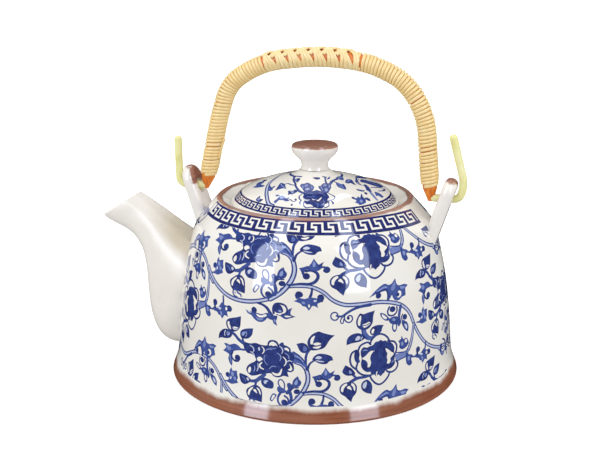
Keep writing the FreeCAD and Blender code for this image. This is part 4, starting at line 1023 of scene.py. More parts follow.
# ---------------------------------------------------------------------------
# lid with its print: a peony and its scroll on the camera side, smaller
# peonies at the sides and a key fret at the edge, drawn on the plan with the
# camera side down and turned 15 degrees
# ---------------------------------------------------------------------------
def lid_peony():
    g = Drawing(0.45)
    # back petals
    g.fill(0.82, "-6.9 -16.6, -6.2 -15.4, -5.2 -15.6, -3.8 -14.7, -2.8 -15.3, -2 -16.6, -1 -18, -0.6 -19.8, -0.9 -21.6, -1.6 -23, -3.2 -24, -5 -24, -5.7 -21.7, -6.3 -19.7, -7 -18.1")
    g.fill(0.42, "-5 -17.7, -4.4 -16.4, -3.6 -16.7, -3.2 -17.8, -4 -18.8, -4.8 -18.6")
    g.fill(0.30, "-4.8 -21.5, -4.2 -20.2, -3.2 -20, -2.5 -20.7, -2.8 -21.8, -4 -22.4")
    g.line(0.42, [0.3, 0.6, 0.3], "-6.1 -17.3, -5.7 -18.5, -5.8 -19.9")
    g.line(0.42, [0.3, 0.5, 0.3], "-2.2 -18, -1.6 -19.4, -1.7 -21.1")
    g.fill(0.84, "1.5 -18.5, 2.6 -18, 3 -16.6, 4 -15.3, 5 -15, 6.2 -15.3, 7 -16.4, 7.3 -18.9, 6.8 -21.1, 6.2 -23.2, 5.2 -24.8, 3.2 -24.7, 2.2 -22.3, 1.5 -20.6")
    g.fill(0.42, "3.6 -17.6, 4.2 -16.5, 5 -16.5, 5.2 -17.7, 4.6 -18.6, 3.9 -18.5")
    g.line(0.40, [0.3, 0.7, 0.3], "6.2 -16.8, 6.5 -18.3, 6.2 -19.7")
    g.fill(0.34, "4.1 -22.1, 4.4 -20.7, 5.2 -20.3, 5.6 -21.5, 5.4 -22.9, 4.7 -23.5")
    g.line(0.42, [0.3, 0.5, 0.3], "2.4 -19.2, 3 -20.7, 3.2 -22.3")
    # scalloped outer petals
    g.line(0.84, [0.5, 0.7, 0.6, 0.6], "5.9 -24.6, 6.6 -25.6, 7.9 -26.3, 8.7 -27.7, 8.1 -29, 7.1 -29.8, 6.3 -30.2")
    g.line(0.84, [0.5, 0.9, 0.6], "6.9 -30.2, 7.7 -31.4, 7.6 -32.3")
    g.line(0.84, [0.5, 0.7, 0.6], "-6.2 -25.5, -7.2 -26.5, -7.5 -27.8, -7.2 -29.1, -6.5 -30")
    g.line(0.84, [0.5, 0.9, 0.6], "-6.7 -30.3, -7.3 -31.4, -7 -32.4")
    g.line(0.86, 0.55, "-5.4 -31.4, -5.5 -32.9, -5 -34.2, -4 -34.7, -2.4 -34.5, -1 -34.7")
    g.line(0.86, 0.55, "5.9 -30.2, 5.7 -32, 5.9 -33.1, 5.1 -34.2, 3.9 -34.7")
    # heart
    g.fill(D, "-5.7 -27.1, -5.1 -25.2, -4.3 -24, -2.6 -23.3, -0.9 -23, 0.5 -22.3, 1.9 -23, 3.4 -24, 4.9 -24.8, 5.7 -26.4, 6.1 -28, 5.3 -29.5, 5.5 -31.2, 4.9 -32.4, 4 -33, "
           "3.8 -34, 2.9 -35, 1.6 -35.4, 0.3 -35.1, -1 -34.5, -1.8 -33.5, -2.8 -32.9, -4 -32.9, -4.9 -32, -5.3 -30.8, -4.9 -29.9, -5.6 -28.7")
    g.line(P, [0.3, 0.8, 0.9, 0.4], "-5.5 -28.9, -4.7 -29.9, -3.8 -30.3, -2.9 -30")
    g.line(P, [0.3, 0.8, 0.4], "-1.7 -29.3, -1 -30, -0.3 -29.7")
    g.line(W, [0.4, 0.8, 0.7, 0.4], "0.4 -30.2, 1 -30.7, 1.7 -29.9, 2.5 -28.6")
    g.line(0.62, [0.3, 0.6, 0.3], "-4.6 -25.7, -2.8 -24.9, -1 -25.5")
    g.line(0.62, [0.3, 0.6, 0.3], "1.4 -25.1, 3.1 -25.6, 4.7 -26.8")
    g.line(0.58, [0.3, 0.5, 0.3], "-3.8 -27.4, -2.2 -28.1, -0.6 -27.4")
    g.line(0.58, [0.3, 0.5, 0.3], "3.3 -29.9, 3.7 -31.6, 3.1 -33.2")
    g.line(0.58, [0.3, 0.5, 0.3], "0.2 -32.2, 1 -33.3, 0.8 -34.4")
    g.fill(W, "-4.9 -32.6, -4.2 -33.3, -2.8 -33.3, -1.8 -33.8, -2 -34.2, -3.2 -34.2, -4.4 -34")
    g.fill(W, "4.1 -33.3, 4.9 -32.7, 5.3 -33.2, 4.6 -34.1, 4 -34.4")
    return g.items


def lid_scroll():
    g = Drawing(0.5)
    # stems
    g.stem([1.9, 1.9, 1.9, 1.8, 1.6, 1.4], "-19.4 -29.6, -20.9 -28.1, -21.8 -25.4, -22.2 -22.3, -22.5 -18.8, -22.4 -14.9, -22.1 -10.6, -21.3 -7, -19.9 -3.7, -18.5 -0.9, -16.9 2.3, -15.2 4.6, -13 5.8", core=0.2, part=0.40)
    g.line(0.86, [1.6, 1.2, 1.0, 1.0, 1.1], "-5.2 -24.8, -6.4 -23.7, -7.5 -22.3, -8.1 -20.6, -8.7 -18.7, -9.1 -16.9, -9.2 -14.8, -9.6 -12.8, -10 -10.6, -10 -8.4, -9.6 -6.2")
    g.line(0.84, [1.1, 1.2, 0.9], "-9.4 -6.6, -10.4 -4.4, -11.3 -2.3, -11.7 0.1, -11.4 2.5")
    g.line(0.84, [0.6, 0.9, 0.8], "-9.4 -5.5, -8 -6.9, -6.3 -8.2")
    g.line(0.84, 0.8, "-9.2 -16.2, -10.6 -15.6, -11.8 -14.3, -12.8 -13.1, -13.9 -13.4")
    g.line(0.84, [1.6, 1.3, 1.3, 1.0], "6.5 -16.6, 7.2 -14.4, 8 -12.2, 9.2 -10.3, 10.4 -8.7, 11.6 -6.5, 12.6 -3.6, 13 -0.5, 12.5 2.4")
    g.line(0.86, [1.1, 0.9, 0.9], "5.3 -15.6, 4.8 -13.1, 4.8 -11, 4.5 -9.4")
    g.line(0.86, [0.8, 0.8], "3.6 -9.2, 5.3 -9.1")
    g.line(0.84, 0.8, "8.4 -11.8, 9.2 -12.8, 10.2 -13.6")
    g.line(0.84, [0.8, 1.1, 0.8], "19.7 -0.3, 19.7 -3, 19.9 -6, 20.6 -8.8, 21.6 -10.5")
    # leaves
    g.fill(0.80, "-18.7 -18.2!, -17.8 -16, -17 -13.1, -16 -10.7, -15 -11.8, -14 -13.5, -13.8 -16.2, -13.3 -18.9!, -15 -17.7, -16.5 -17.8")
    g.line(0.92, [0.4, 0.9, 0.4], "-18.1 -17.5, -17.1 -15.4, -16.5 -12.8")
    g.line(L, 0.45, "-15.9 -12.2, -15.4 -14.5, -14.2 -17.4")
    g.fill(0.88, "-10.2 -9.4, -8.6 -8.8, -7.2 -9, -6.9 -10, -7.5 -11.9, -8.2 -13.6!, -9.1 -12.1, -10 -11.1")
    g.fill(L, "-9.4 -9.9, -8.6 -9.7, -8.5 -10.9, -9 -11.3")
    g.fill(0.92, "-12.7 -21!, -11.6 -21.1, -10.6 -21.5, -9.4 -20.7, -8.3 -21.7, -8.3 -22.9, -9.4 -23.9, -10.6 -24.8, -11.6 -24.2, -12.6 -24.9!, -12.4 -22.8")
    g.fill(L, "-11.2 -22.9, -10.4 -22.4, -9.8 -23, -10.4 -23.9, -11.1 -23.7")
    g.line(P, [0.3, 0.5, 0.3], "-11.6 -22, -10.6 -22, -9.6 -21.5")
    g.fill(D, "-1.2 -10.1!, 0.4 -10, 2.3 -10.2, 2.1 -11.4, 0.8 -11.9, -0.4 -11.2")
    g.fill(0.86, "5.2 -11!, 5.9 -9.5, 6.8 -7.7!, 7 -9.2, 6.2 -10.8")
    g.fill(0.60, "9.7 -13.7, 10.5 -13.3, 11.9 -14.3, 13.1 -13.9, 13.7 -15.8, 14.2 -18.2, 13.7 -19.9!, 12.1 -19.3, 10.5 -18, 9.8 -16.1")
    g.line(0.92, [0.6, 1.0, 0.6], "13 -14.1, 13.4 -16.4, 13.8 -19.1")
    g.line(0.86, 0.5, "10 -14, 10.2 -16.1, 11.1 -18.1, 12.5 -19")
    g.fill(0.72, "9.7 -8.8, 10.4 -6.1, 11.4 -4.4, 12.8 -4.1, 13.5 -6.5, 13.1 -9.2, 12 -9.2, 11.2 -8.7")
    g.line(L, [0.3, 0.6, 0.3], "10.8 -7.9, 11.6 -6.3, 12.6 -5.5")
    g.fill(0.80, "13.9 -11.7!, 14.3 -8.8, 15.3 -6.5, 16.9 -5.6, 17.7 -7.1, 18.1 -9.3, 19.2 -12.6!, 17.7 -12, 16.5 -11.1, 15.3 -12.4")
    g.line(0.92, [0.4, 0.8, 0.6], "17.1 -6.5, 17.3 -9, 18.7 -12")
    g.line(L, [0.3, 0.6, 0.3], "15.1 -10.5, 15.7 -8.5, 16.5 -7.1")
    g.fill(0.70, "-21.4 -12.1!, -20.6 -14.1, -20.2 -17.7!, -21.5 -16.9, -21.8 -14.5")
    g.dot(0.84, -19.2, -13.8, 0.65, 0.9)
    # flourish between stem and peony
    g.fill(0.72, "-16.5 -24.1, -15.1 -24.2, -14.3 -25.3, -13.3 -26.9, -12.6 -28.1, -12 -29.3!, -13.6 -29.1, -14.5 -28.1, -15.5 -27.6, -16.7 -27.3, -17.9 -28.7!, -19 -27.7, -18.4 -26.4, -17.5 -26")
    g.fill(0.40, "-16.3 -25.5, -15.3 -25.2, -14.9 -26.4, -15.9 -26.8")
    g.line(0.88, [0.4, 0.8, 0.5], "-15.1 -24.3, -13.8 -26.6, -12.4 -28.9")
    g.fill(0.80, "-18.3 -22.4!, -17.3 -22.6, -16.3 -23.8, -17.1 -24.3, -17.9 -23.8")
    g.dot(D, -12.4, -27.1, 0.65)
    g.line(0.84, 0.55, "-12.3 -28.9, -11.5 -28.3, -10.8 -29.5, -9.6 -30.2, -8.8 -29.4, -9 -28.5")
    g.dot(D, -9.1, -28.8, 0.55)
    g.dot(0.84, -10.8, -32, 0.5, 0.6)
    # flourish outside the stem
    g.fill(0.80, "-27.4 -20.4!, -26.3 -19.2, -25.4 -18.9, -25.4 -20.4, -25.1 -21.8, -24.2 -22.7, -24.7 -23.7, -25.9 -23.7, -26.6 -22.6, -27.2 -21.6")
    g.dot(D, -24.8, -22.9, 0.85)
    g.dot(0.40, -26, -21.3, 0.6, 0.9)
    # flourish right of the peony
    g.fill(0.74, "21 -19.9!, 21.2 -22, 22.2 -23.1, 22.9 -24.9, 22.7 -26.4, 21.8 -27.5, 20.8 -28.5, 19.8 -29.5!, 19.2 -28.7, 17.6 -28.7!, 18.4 -27, 17.2 -26.3, 16.4 -25.2!, 18 -25.4, 18.8 -24.8, 19.3 -23.2!, 20.2 -24, 20.6 -22.1")
    g.fill(0.38, "20 -26.5, 20.6 -25.2, 21.4 -25.6, 21.2 -26.8, 20.4 -27.4")
    g.line(0.90, [0.5, 0.9, 0.6], "21.2 -20.8, 21.2 -23.6, 22.3 -25.8")
    g.dot(D, 23.9, -23.1, 1.25, 1.1, -30)
    g.line(0.86, 0.8, "22.5 -24.2, 23 -23.1, 23.7 -22.4")
    g.dot(D, 17.1, -25.6, 0.85)
    # flower at the right edge
    g.line(0.84, [0.5, 0.7, 0.5], "20.8 -2, 19.6 -4.1, 19.2 -7.1, 20.1 -10.1, 21.5 -10.6, 23.2 -9.6")
    g.fill(0.80, "19.2 1.1!, 20.3 5.3, 22.6 9, 24.8 9.6, 25.9 8, 23.5 3.2, 22 1.2, 20.4 0.2")
    g.fill(0.84, "21.2 -3.4!, 22.4 -0.2, 23.9 0.7, 25.9 1.3, 27.9 2.3, 30 3.2, 31.9 3.4, 32.9 1.8, 31.7 -2.3, 29.9 -4.4, 27.9 -5.4, 26.1 -5.8, 24.5 -5.6, 23 -5.7, 21.8 -6.1")
    g.line(L, [0.3, 0.5, 0.3], "23.3 -1.2, 25.7 -1.4, 28.1 -1.6, 30.6 -1")
    g.line(0.84, [0.6, 1.0, 0.9, 0.6], "26.1 -9.9, 28.7 -6.9, 31.9 -3.2, 33 -3, 32.2 -7, 29.6 -10.8")
    g.fill(0.86, "22.7 -9.2, 23.8 -7.9, 25.1 -10, 25.9 -13.1, 26.1 -15, 25 -15.5, 23.9 -15.3, 23.3 -12.1")
    g.line(0.62, [1.2, 1.7, 1.4, 1.2], "25.3 -15.5, 26.5 -17.9, 27.8 -20, 28.9 -20.9")
    g.line(L, 0.5, "25.7 -16.6, 26.9 -18.8, 28.2 -20.5")
    g.fill(0.72, "27.6 -13.6, 28.8 -13, 30.2 -13, 31.1 -13.6, 31.9 -14.5!, 30.7 -16.5, 29.9 -16.3, 29 -16.3, 28.2 -17.5, 27.8 -16.1")
    g.fill(0.86, "18.7 -16.8!, 20 -16.4, 21.4 -16.3, 22.9 -15.9, 22.1 -17.7, 20.4 -18.1, 19.2 -17.9")
    g.dot(D, 23.2, -18.6, 0.8, 1.1)
    # leaves beside the double stem
    g.fill(0.72, "-29.6 -4.8!, -28.1 -4.6, -27.7 -1.5, -26.3 0.4, -24.8 -0.7, -24.2 -3.7, -25.4 -5.4, -23.6 -8.9, -24.3 -9.9, -26.5 -8.8, -28 -7.6")
    g.fill(D, "-25.1 -0.7, -24.4 1.7, -23.4 1.3, -22.6 -0.8!, -23.6 -1.7, -24.5 -2.1")
    g.fill(0.80, "-21.7 -8.6, -21 -10.8, -20.1 -13.7, -18.7 -12.9!, -19.4 -14.7, -19.9 -17.6!, -20.6 -15.4, -21.3 -12.6")
    return g.items


LID_TURN = math.radians(15.0)


def spin(q, a):
    c, s = math.cos(a), math.sin(a)
    return np.stack([q[:, 0] * c - q[:, 1] * s, q[:, 0] * s + q[:, 1] * c], 1)


def lid_fret():
    out = []

    def slab(a0, r0, a1, r1):
        k = max(2, int(abs(a1 - a0) / math.radians(2.0)) + 1)
        a = np.linspace(a0, a1, k)
        ring = lambda r, t: np.stack([r * np.sin(t), -r * np.cos(t)], 1)
        out.append((N, np.vstack([ring(r0, a), ring(r1, a[::-1])])))

    n = 48
    p = 2 * math.pi / n
    for i in range(n):
        b = i * p - 0.0665
        slab(b, 35.45, b + p, 36.2)
        slab(b, 38.25, b + p, 38.9)
        slab(b + 0.01 * p, 36.0, b + 0.27 * p, 38.0)
        slab(b + 0.01 * p, 37.48, b + 0.53 * p, 38.0)
        slab(b + 0.61 * p, 36.55, b + 0.87 * p, 38.45)
        slab(b + 0.36 * p, 36.55, b + 0.87 * p, 37.07)
    # the ring lies a little off the lid's axis
    moved = []
    for tone, q in out:
        q = q + np.array([0.45, 0.0])
        r = np.hypot(q[:, 0], q[:, 1])
        moved.append((tone, q * np.minimum(1.0, 38.93 / r)[:, None]))
    return moved


def lid_shapes():
    near = lid_scroll() + lid_peony()
    plan = list(near)
    # the far side is the same scroll, mirrored and turned
    for tone, q in near:
        c = q.mean(0)
        if c[1] > -6.0 or c[0] < -18.5 or c[0] > 22.5:
            continue
        z = spin(q * np.array([1.0, -1.0]), math.radians(22.0))
        if z[:, 1].min() > (4.0 if abs(z[:, 0]).max() < 17.0 else 11.5):
            plan.append((tone, z))
    out = []
    for tone, q in plan:
        q = spin(q, LID_TURN)
        r = np.hypot(q[:, 0], q[:, 1])
        if r.min() > 8.6 and np.hypot(q[:, 0], q[:, 1] - 19.0).min() > 2.4:
            out.append((tone, q * np.minimum(1.0, 35.3 / r)[:, None]))
    return out + [(t, spin(q, LID_TURN)) for t, q in lid_fret()]


def lid_flat(p):
    return p[:, :2].copy()


def lid_from_flat(q):
    r = np.hypot(q[:, 0], q[:, 1])
    s = np.interp(r, LID.rz[::-1, 0], LID.s[::-1])
    _, z = LID.at(s)
    n = -LID.normal(s)
    n = np.where(n[:, 1:] < 0, -n, n)
    d = q / np.maximum(r, 1e-6)[:, None]
    return np.column_stack([q, z]), np.column_stack([d * n[:, :1], n[:, 1]])


def lid_skin(co, tri):
    r = np.hypot(co[:, 0], co[:, 1])
    z_at = np.interp(r, LID.rz[::-1, 0], LID.rz[::-1, 1])
    on = (r > 6.93) & (r < 39.02) & (np.abs(co[:, 2] - z_at) < 0.12)
    return on[tri].all(1)


def lid_grid():
    pts = []
    for k, r in enumerate(np.concatenate([[7.4, 7.9, 8.5, 9.2], np.linspace(10.2, 35.2, 13), [36.0, 36.8, 37.6, 38.2, 38.6]])):
        n = int(2 * math.pi * r / 2.4)
        a = (np.arange(n) + 0.5 * (k % 2)) / n * 2 * math.pi
        pts.append(np.stack([r * np.cos(a), r * np.sin(a)], 1))
    q = np.vstack(pts)
    return q[np.hypot(q[:, 0], q[:, 1] - 19.0) > 2.6]


lid = printed_skin("lid", "lid_printed", lid_skin, lid_flat, lid_from_flat, lid_shapes(), lid_grid())
dress(lid, LID_GLAZE)
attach(lid, "lid")
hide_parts("lid")


# ---------------------------------------------------------------------------
# bail: split-cane windings on the legs and the crossed braid over the top
# ---------------------------------------------------------------------------
BAIL = [(-53.8, 93.0), (-46.9, 124.0), (-41.8, 138.8), (-25.0, 149.0), (2.0, 152.3), (25.6, 150.0), (43.3, 141.5), (52.4, 126.0), (55.1, 93.0)]
BRAID_X = (-23.3, 21.5)


def bail_line():
    pts = [np.array(q) for q in BAIL]
    out = [pts[0]]
    for a, b, c in zip(pts[:-2], pts[1:-1], pts[2:]):
        r0, r1 = np.linalg.norm(a - b), np.linalg.norm(c - b)
        u, w = (a - b) / r0, (c - b) / r1
        turn = math.pi - math.acos(float(np.clip(u @ w, -1, 1)))
        t = 0.47 * min(r0, r1)
        bend = t / math.tan(turn / 2)
        bis = (u + w) / np.linalg.norm(u + w)
        centre = b + bis * bend / math.cos(turn / 2)
        q0, q1 = b + u * t - centre, b + w * t - centre
        a0, a1 = math.atan2(q0[1], q0[0]), math.atan2(q1[1], q1[0])
        da = (a1 - a0 + math.pi) % (2 * math.pi) - math.pi
        for k in range(25):
            ang = a0 + da * k / 24
            out.append(centre + bend * np.array([math.cos(ang), math.sin(ang)]))
    out.append(pts[-1])
    q = np.array(out)
    s = np.concatenate([[0], np.cumsum(np.hypot(*np.diff(q, axis=0).T))])
    even = np.arange(0, s[-1], 0.5)
    q = np.stack([np.interp(even, s, q[:, 0]), np.interp(even, s, q[:, 1])], 1)
    tan = np.gradient(q, even, axis=0)
    for _ in range(6):
        tan[1:-1] = (tan[:-2] + 2 * tan[1:-1] + tan[2:]) / 4
    tan /= np.linalg.norm(tan, axis=1)[:, None]
    heading = np.unwrap(np.arctan2(tan[:, 1], tan[:, 0]))
    curve = -np.gradient(heading, even)
    return even, q, tan, curve


B_S, B_Q, B_T, B_K = bail_line()
S_FRONT = float(np.interp(BRAID_X[0], B_Q[:, 0], B_S))
S_REAR = float(np.interp(BRAID_X[1], B_Q[:, 0], B_S))
S_END = float(B_S[-1])


def on_bail(s, phi, rad):
    """Point and outward direction; phi is 0 outside the arch and grows
    towards the front (-Y)."""
    s = np.clip(s, 0, S_END)
    c = np.stack([np.interp(s, B_S, B_Q[:, k]) for k in (0, 1)], 1)
    t = np.stack([np.interp(s, B_S, B_T[:, k]) for k in (0, 1)], 1)
    t /= np.linalg.norm(t, axis=1)[:, None]
    n = np.stack([-t[:, 1], np.zeros(len(s)), t[:, 0]], 1)
    d = n * np.cos(phi)[:, None] - np.array([0, 1.0, 0]) * np.sin(phi)[:, None]
    return np.stack([c[:, 0], np.zeros(len(s)), c[:, 1]], 1) + d * np.asarray(rad)[:, None], d


STRIP = np.array([(-0.93, -0.5), (-1.0, -0.15), (-0.93, 0.15), (-0.70, 0.37), (-0.36, 0.48), (0, 0.5), (0.36, 0.48), (0.70, 0.37), (0.93, 0.15), (1.0, -0.15), (0.93, -0.5)])


class Cane:
    """Collects half-round strips into one mesh with grain coordinates."""

    def __init__(self, seed):
        self.co, self.faces = [], []
        self.along, self.across, self.tint = [], [], []
        self.n = 0
        self.rng = np.random.default_rng(seed)

    def strip(self, mid, out, half, thick):
        """mid: points on the strip's centre, out: its outward direction."""
        k, m = len(mid), len(STRIP)
        half, thick = np.broadcast_to(half, k), np.broadcast_to(thick, k)
        run_dir = np.gradient(mid, axis=0)
        run_dir /= np.linalg.norm(run_dir, axis=1)[:, None]
        side = np.cross(out, run_dir)
        side /= np.linalg.norm(side, axis=1)[:, None]
        up = np.cross(run_dir, side)
        ring = mid[:, None, :] + side[:, None, :] * (STRIP[None, :, :1] * half[:, None, None]) + up[:, None, :] * (STRIP[None, :, 1:] * thick[:, None, None])
        self.co.append(ring.reshape(-1, 3))
        dist = np.concatenate([[0], np.cumsum(np.linalg.norm(np.diff(mid, axis=0), axis=1))]) + self.rng.uniform(0, 400)
        self.along.append(np.repeat(dist, m))
        self.across.append(np.tile(STRIP[:, 0], k) * 0.8 + self.rng.uniform(0, 300))
        self.tint.append(np.full(k * m, self.rng.uniform(0, 1)))
        n = self.n
        for i in range(k - 1):
            a, b = n + i * m, n + (i + 1) * m
            for j in range(m):
                j2 = (j + 1) % m
                self.faces.append((a + j, a + j2, b + j2, b + j))
        self.faces.append(tuple(n + j for j in range(m))[::-1])
        self.faces.append(tuple(n + (k - 1) * m + j for j in range(m)))
        self.n += k * m

    def build(self, name):
        ob = make_mesh(name, np.vstack(self.co), self.faces, None, {
            "along": ("POINT", np.concatenate(self.along)),
            "across": ("POINT", np.concatenate(self.across)),
            "tint": ("POINT", np.concatenate(self.tint))})
        bm = bmesh.new()
        bm.from_mesh(ob.data)
        bmesh.ops.recalc_face_normals(bm, faces=bm.faces)
        bm.to_mesh(ob.data)
        bm.free()
        return ob


CORE, WRAP, BRAID = 3.4, 4.5, 4.65


def winding(cane, s0, s1, pitch, hand, skew, phi0, foot_low, foot_high):
    """One long strip wound from s0 to s1; skew(s) tips the turns."""
    rng = cane.rng
    turns = int(round((s1 - s0 - pitch) / pitch))
    step = rng.uniform(0.94, 1.06, turns)
    for i in rng.choice(turns - 6, 4, replace=False) + 3:
        step[i] += 0.20
    step = np.concatenate([[0], np.cumsum(step)])
    step *= (s1 - s0 - pitch) / step[-1]
    per = 26
    t = np.arange(turns * per + 1) / per
    if foot_low:
        # the cut end stays clear of the lug when the bail lies down
        t = t[4:]
    s = s0 + pitch / 2 + np.interp(t, np.arange(turns + 1), step)
    phi = phi0 + hand * 2 * math.pi * t
    s_at = s - skew(s) * np.cos(phi)
    gap = np.interp(t, np.arange(turns + 1), np.concatenate([np.diff(step), [pitch]]))
    bend = np.interp(s, B_S, B_K)
    room = gap * (1 + bend * 4.2 * np.cos(phi))
    half = np.clip(0.5 * room * 0.97, 0.42, 0.80)
    top = np.full(len(s), WRAP + 0.02)
    top = np.minimum(top, 3.98 + 0.52 * np.clip((s - s0) / 5.0, 0, 1) if foot_low else top)
    top = np.minimum(top, 3.98 + 0.52 * np.clip((s1 - s) / 5.0, 0, 1) if foot_high else top)
    wob = np.interp(t, np.linspace(0, turns, turns * 2), rng.uniform(-0.05, 0.03, turns * 2))
    top = top + wob
    thick = top - (CORE + 0.03)
    mid, out = on_bail(s_at, phi, CORE + 0.03 + thick / 2)
    cane.strip(mid, out, half, thick)


front_cane = Cane(11)
winding(front_cane, 0.15, S_FRONT + 0.4, 1.66, 1, lambda s: 0.62 * np.clip((46 - s) / 14, 0, 1), 0.4, True, False)
# a tail of the strip tucked up along the inner side of the front leg
k = np.linspace(0, 1, 26)
tail_s = 10.4 + 10.2 * k
tail_r = WRAP + 0.10 + 0.95 * k ** 2.2
mid, out = on_bail(tail_s, np.full(26, math.pi - 0.35), tail_r)
front_cane.strip(mid, out, 0.85, 0.62)
front_wrap = front_cane.build("front_winding")

rear_cane = Cane(23)
winding(rear_cane, S_REAR - 0.4, S_END - 0.15, 1.66, 1, lambda s: 0.25 * np.clip((s - S_REAR - 40) / 14, 0, 1), 2.2, False, True)
rear_wrap = rear_cane.build("rear_winding")

braid_cane = Cane(37)
REPEAT = 6.12
FIRST = 70.35
for side_sign, start in ((1, FIRST), (-1, FIRST + REPEAT / 2)):
    for i in range(-1, 9):
        for j in (-1, 0, 1):
            # from underneath straight up one side, then slanting back along
            # the arch, over the ridge and down the other side
            a = np.linspace(182, -60, 44)
            lean = 4.2 * np.clip((112 - a) / 112, 0, None) ** 1.7
            spread = np.interp(a, [-60, -20, 0, 45, 65, 115, 182], [1.0, 1.1, 1.15, 1.24, 1.36, 2.04, 2.04])
            s = start + i * REPEAT - lean + j * spread
            if s[0] < S_FRONT - 0.6 or s[0] > S_REAR + 0.6:
                continue
            s = np.clip(s, S_FRONT + 0.5, S_REAR - 0.5)
            if side_sign < 0:
                r_over = np.interp(a, [-60, -40, -20, 0, 25, 60, 182], [3.80, 4.02, 4.40, 4.62, 4.50, 4.12, 3.98])
            else:
                r_over = np.interp(a, [-60, -40, -10, 15, 40, 65, 182], [3.80, 3.86, 3.92, 4.08, 4.36, 4.14, 3.98])
            half = np.clip(spread * 0.49, 0.5, 0.98)
            mid, out = on_bail(s, side_sign * np.radians(a), r_over + 0.02 * j)
            braid_cane.strip(mid, out, half, 0.92)
# plain turns that close both ends of the braid
for at in (S_FRONT + 0.55, S_REAR - 1.75, S_REAR - 0.6):
    a = np.linspace(-172, 172, 46)
    mid, out = on_bail(np.full(46, at), np.radians(a), np.full(46, 3.90))
    braid_cane.strip(mid, out, 0.56, 0.90)
top_braid = braid_cane.build("crossed_braid")


def cane_mat(name, light, mid_c, dark):
    m = Mat(name)
    v = m.node("ShaderNodeCombineXYZ")
    m.link(m.math("MULTIPLY", m.attr("along"), 0.10), v.inputs[0])
    m.link(m.math("MULTIPLY", m.attr("across"), 2.6), v.inputs[1])
    fibre = m.noise(1.6, 4.0, 0.6, vec=v.outputs[0])
    v2 = m.node("ShaderNodeCombineXYZ")
    m.link(m.math("MULTIPLY", m.attr("along"), 0.05), v2.inputs[0])
    m.link(m.attr("tint"), v2.inputs[1])
    patch = m.noise(1.0, 2.0, 0.5, vec=v2.outputs[0])
    col = m.ramp(fibre, [(0.25, dark), (0.48, mid_c), (0.70, light)])
    col = m.mix(m.math("MULTIPLY", m.smooth(patch, 0.35, 0.75), 0.45), col, light)
    m.sock(m.b, "Base Color", col)
    m.sock(m.b, "Roughness", m.lin(fibre, 0.3, 0.7, 0.52, 0.36))
    m.b.inputs["IOR"].default_value = 1.5
    m.b.inputs["Coat Weight"].default_value = 0.15
    m.b.inputs["Coat Roughness"].default_value = 0.25
    m.bump(fibre, 0.5, 0.00008)
    return m.m


CANE_WRAP = cane_mat("cane_winding", srgb(254, 234, 180), srgb(246, 213, 142), srgb(224, 180, 100))
CANE_BRAID = cane_mat("cane_braid", srgb(255, 240, 192), srgb(249, 220, 154), srgb(230, 188, 112))
for ob, node, slot_name, mat in ((front_wrap, "front_wrap", "wrap_cane", CANE_WRAP), (rear_wrap, "rear_wrap", "wrap_cane", CANE_WRAP), (top_braid, "top_braid", "braid_cane", CANE_BRAID)):
    dress(ob, mat)
    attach(ob, "bail")
    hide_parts(node)


def core_mat():
    m = Mat("core_cane_orange")
    grain = m.noise(900.0, 4.0, 0.6, squash=(1, 1, 0.12))
    col = m.ramp(grain, [(0.3, srgb(212, 100, 14)), (0.5, srgb(238, 130, 24)), (0.72, srgb(250, 164, 62))])
    m.sock(m.b, "Base Color", col)
    m.sock(m.b, "Roughness", m.lin(grain, 0.3, 0.7, 0.5, 0.34))
    m.bump(grain, 0.4, 0.0001)
    return m.m


def hook_mat():
    m = Mat("hook_plastic_yellow")
    cloud = m.noise(120.0, 3.0)
    col = m.ramp(cloud, [(0.3, srgb(227, 224, 146)), (0.55, srgb(239, 236, 171)), (0.8, srgb(246, 244, 201))])
    m.sock(m.b, "Base Color", col)
    m.sock(m.b, "Roughness", m.lin(m.noise(400.0, 2.0), 0.3, 0.7, 0.34, 0.46))
    m.b.inputs["IOR"].default_value = 1.49
    m.b.inputs["Subsurface Weight"].default_value = 0.35
    m.b.inputs["Subsurface Radius"].default_value = (0.0016, 0.0014, 0.0005)
    m.b.inputs["Subsurface Scale"].default_value = 1.0
    m.bump(m.noise(300.0, 2.0), 0.2, 0.0001)
    return m.m


dress(NODES["bail_core"], core_mat())
HOOK = hook_mat()
dress(NODES["front_hook"], HOOK)
dress(NODES["rear_hook"], HOOK)


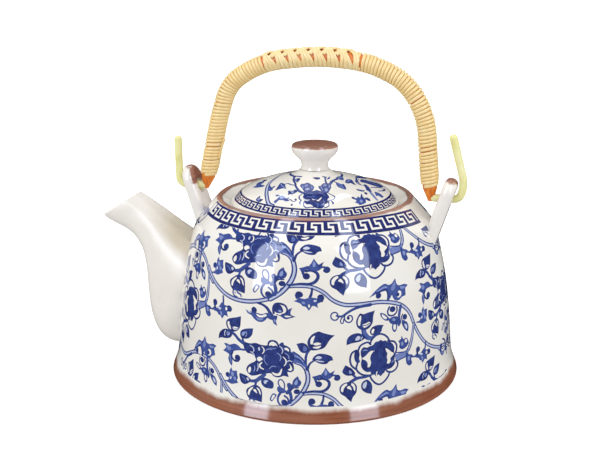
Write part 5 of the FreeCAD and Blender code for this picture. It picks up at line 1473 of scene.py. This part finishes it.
# ---------------------------------------------------------------------------
# floor, light, camera
# ---------------------------------------------------------------------------
def studio():
    floor = bpy.data.meshes.new("floor")
    floor.from_pydata([(-45, -45, 0), (45, -45, 0), (45, 45, 0), (-45, 45, 0)], [], [(0, 1, 2, 3)])
    ob = bpy.data.objects.new("floor", floor)
    SCENE.collection.objects.link(ob)
    ob.visible_diffuse = False
    ob.visible_glossy = False
    m = Mat("studio_floor")
    m.sock(m.b, "Base Color", m.mix(m.noise(3.0, 2.0), (0.90, 0.90, 0.90, 1), (0.92, 0.92, 0.92, 1)))
    m.b.inputs["Roughness"].default_value = 0.7
    m.b.inputs["Specular IOR Level"].default_value = 0.1
    m.b.inputs["Emission Color"].default_value = (1, 1, 1, 1)
    # whiter away from the pot, so that the soft shadow is kept but the
    # paper runs out to white
    far = m.node("ShaderNodeVectorMath", operation="LENGTH")
    m.link(m.coords(), far.inputs[0])
    m.sock(m.b, "Emission Strength", m.lin(far.outputs["Value"], 0.10, 0.9, 0.45, 0.75))
    dress(ob, m.m)

    world = bpy.data.worlds.new("studio")
    SCENE.world = world
    world.use_nodes = True
    bg = world.node_tree.nodes["Background"]
    bg.inputs["Color"].default_value = (1.0, 1.0, 1.0, 1)
    bg.inputs["Strength"].default_value = 0.76
    world.cycles_visibility.glossy = False

    def box(name, az, el, dist, w, h, power, shine, roll=0.0):
        """A soft box; shine ones are only seen as reflections in the glaze,
        the others only light the surfaces."""
        a, e = math.radians(az), math.radians(el)
        light = bpy.data.lights.new(name, "AREA")
        light.shape = "RECTANGLE"
        light.size, light.size_y = w, h
        light.energy = power
        if shine:
            light.color = (0.75, 0.83, 1.0)
        o = bpy.data.objects.new(name, light)
        d = Vector((math.sin(a) * math.cos(e), -math.cos(a) * math.cos(e), math.sin(e)))
        o.location = d * dist + Vector((0, 0, 0.06))
        o.rotation_mode = "QUATERNION"
        o.rotation_quaternion = Quaternion(d, math.radians(roll)) @ d.to_track_quat("Z", "Y")
        o.visible_glossy = shine
        o.visible_diffuse = not shine
        SCENE.collection.objects.link(o)

    box("shine_left", -31.5, 29, 1.25, 0.43, 1.15, 16.4, True, 5.0)
    box("shine_left_high", -40, 62, 1.25, 0.20, 0.34, 1.75, True, 5.0)
    box("shine_right", 52.5, 29, 1.25, 0.50, 1.15, 14.0, True, -5.0)
    box("shine_right_high", 66, 62, 1.25, 0.21, 0.34, 1.75, True, -5.0)
    box("tube_left", 215, 60, 1.25, 0.10, 0.62, 1.2, True)
    box("tube_right", 175, 60, 1.25, 0.10, 0.62, 1.2, True)
    box("key_front", 8, 48, 1.5, 1.6, 1.6, 5.3, False)
    box("key_top", 15, 84, 1.3, 1.2, 1.2, 3.2, False)
    box("fill_left", -68, 24, 1.6, 1.4, 1.4, 5.0, False)
    box("fill_right", 98, 24, 1.6, 1.4, 1.4, 4.5, False)


studio()

AZ, EL, ROLL = math.radians(15.0), math.radians(15.15), math.radians(0.23)
RIGHT = Vector((math.cos(AZ), math.sin(AZ), 0))
BACK = Vector((math.sin(AZ) * math.cos(EL), -math.cos(AZ) * math.cos(EL), math.sin(EL)))
UP = BACK.cross(RIGHT)
cam_data = bpy.data.cameras.new("camera")
cam_data.sensor_width, cam_data.sensor_fit, cam_data.lens = 36.0, "HORIZONTAL", 61.26
cam_data.clip_start, cam_data.clip_end = 0.02, 50.0
cam = bpy.data.objects.new("camera", cam_data)
SCENE.collection.objects.link(cam)
cx = RIGHT * math.cos(ROLL) - UP * math.sin(ROLL)
cy = RIGHT * math.sin(ROLL) + UP * math.cos(ROLL)
place = (RIGHT * -7.14 + Vector((0, 0, 71.4)) + BACK * 493.0) * MM
cam.matrix_world = Matrix(((cx.x, cy.x, BACK.x, place.x), (cx.y, cy.y, BACK.y, place.y), (cx.z, cy.z, BACK.z, place.z), (0, 0, 0, 1)))
SCENE.camera = cam
SCENE.view_settings.view_transform = "Standard"
SCENE.view_settings.look = "None"

bpy.context.view_layer.update()
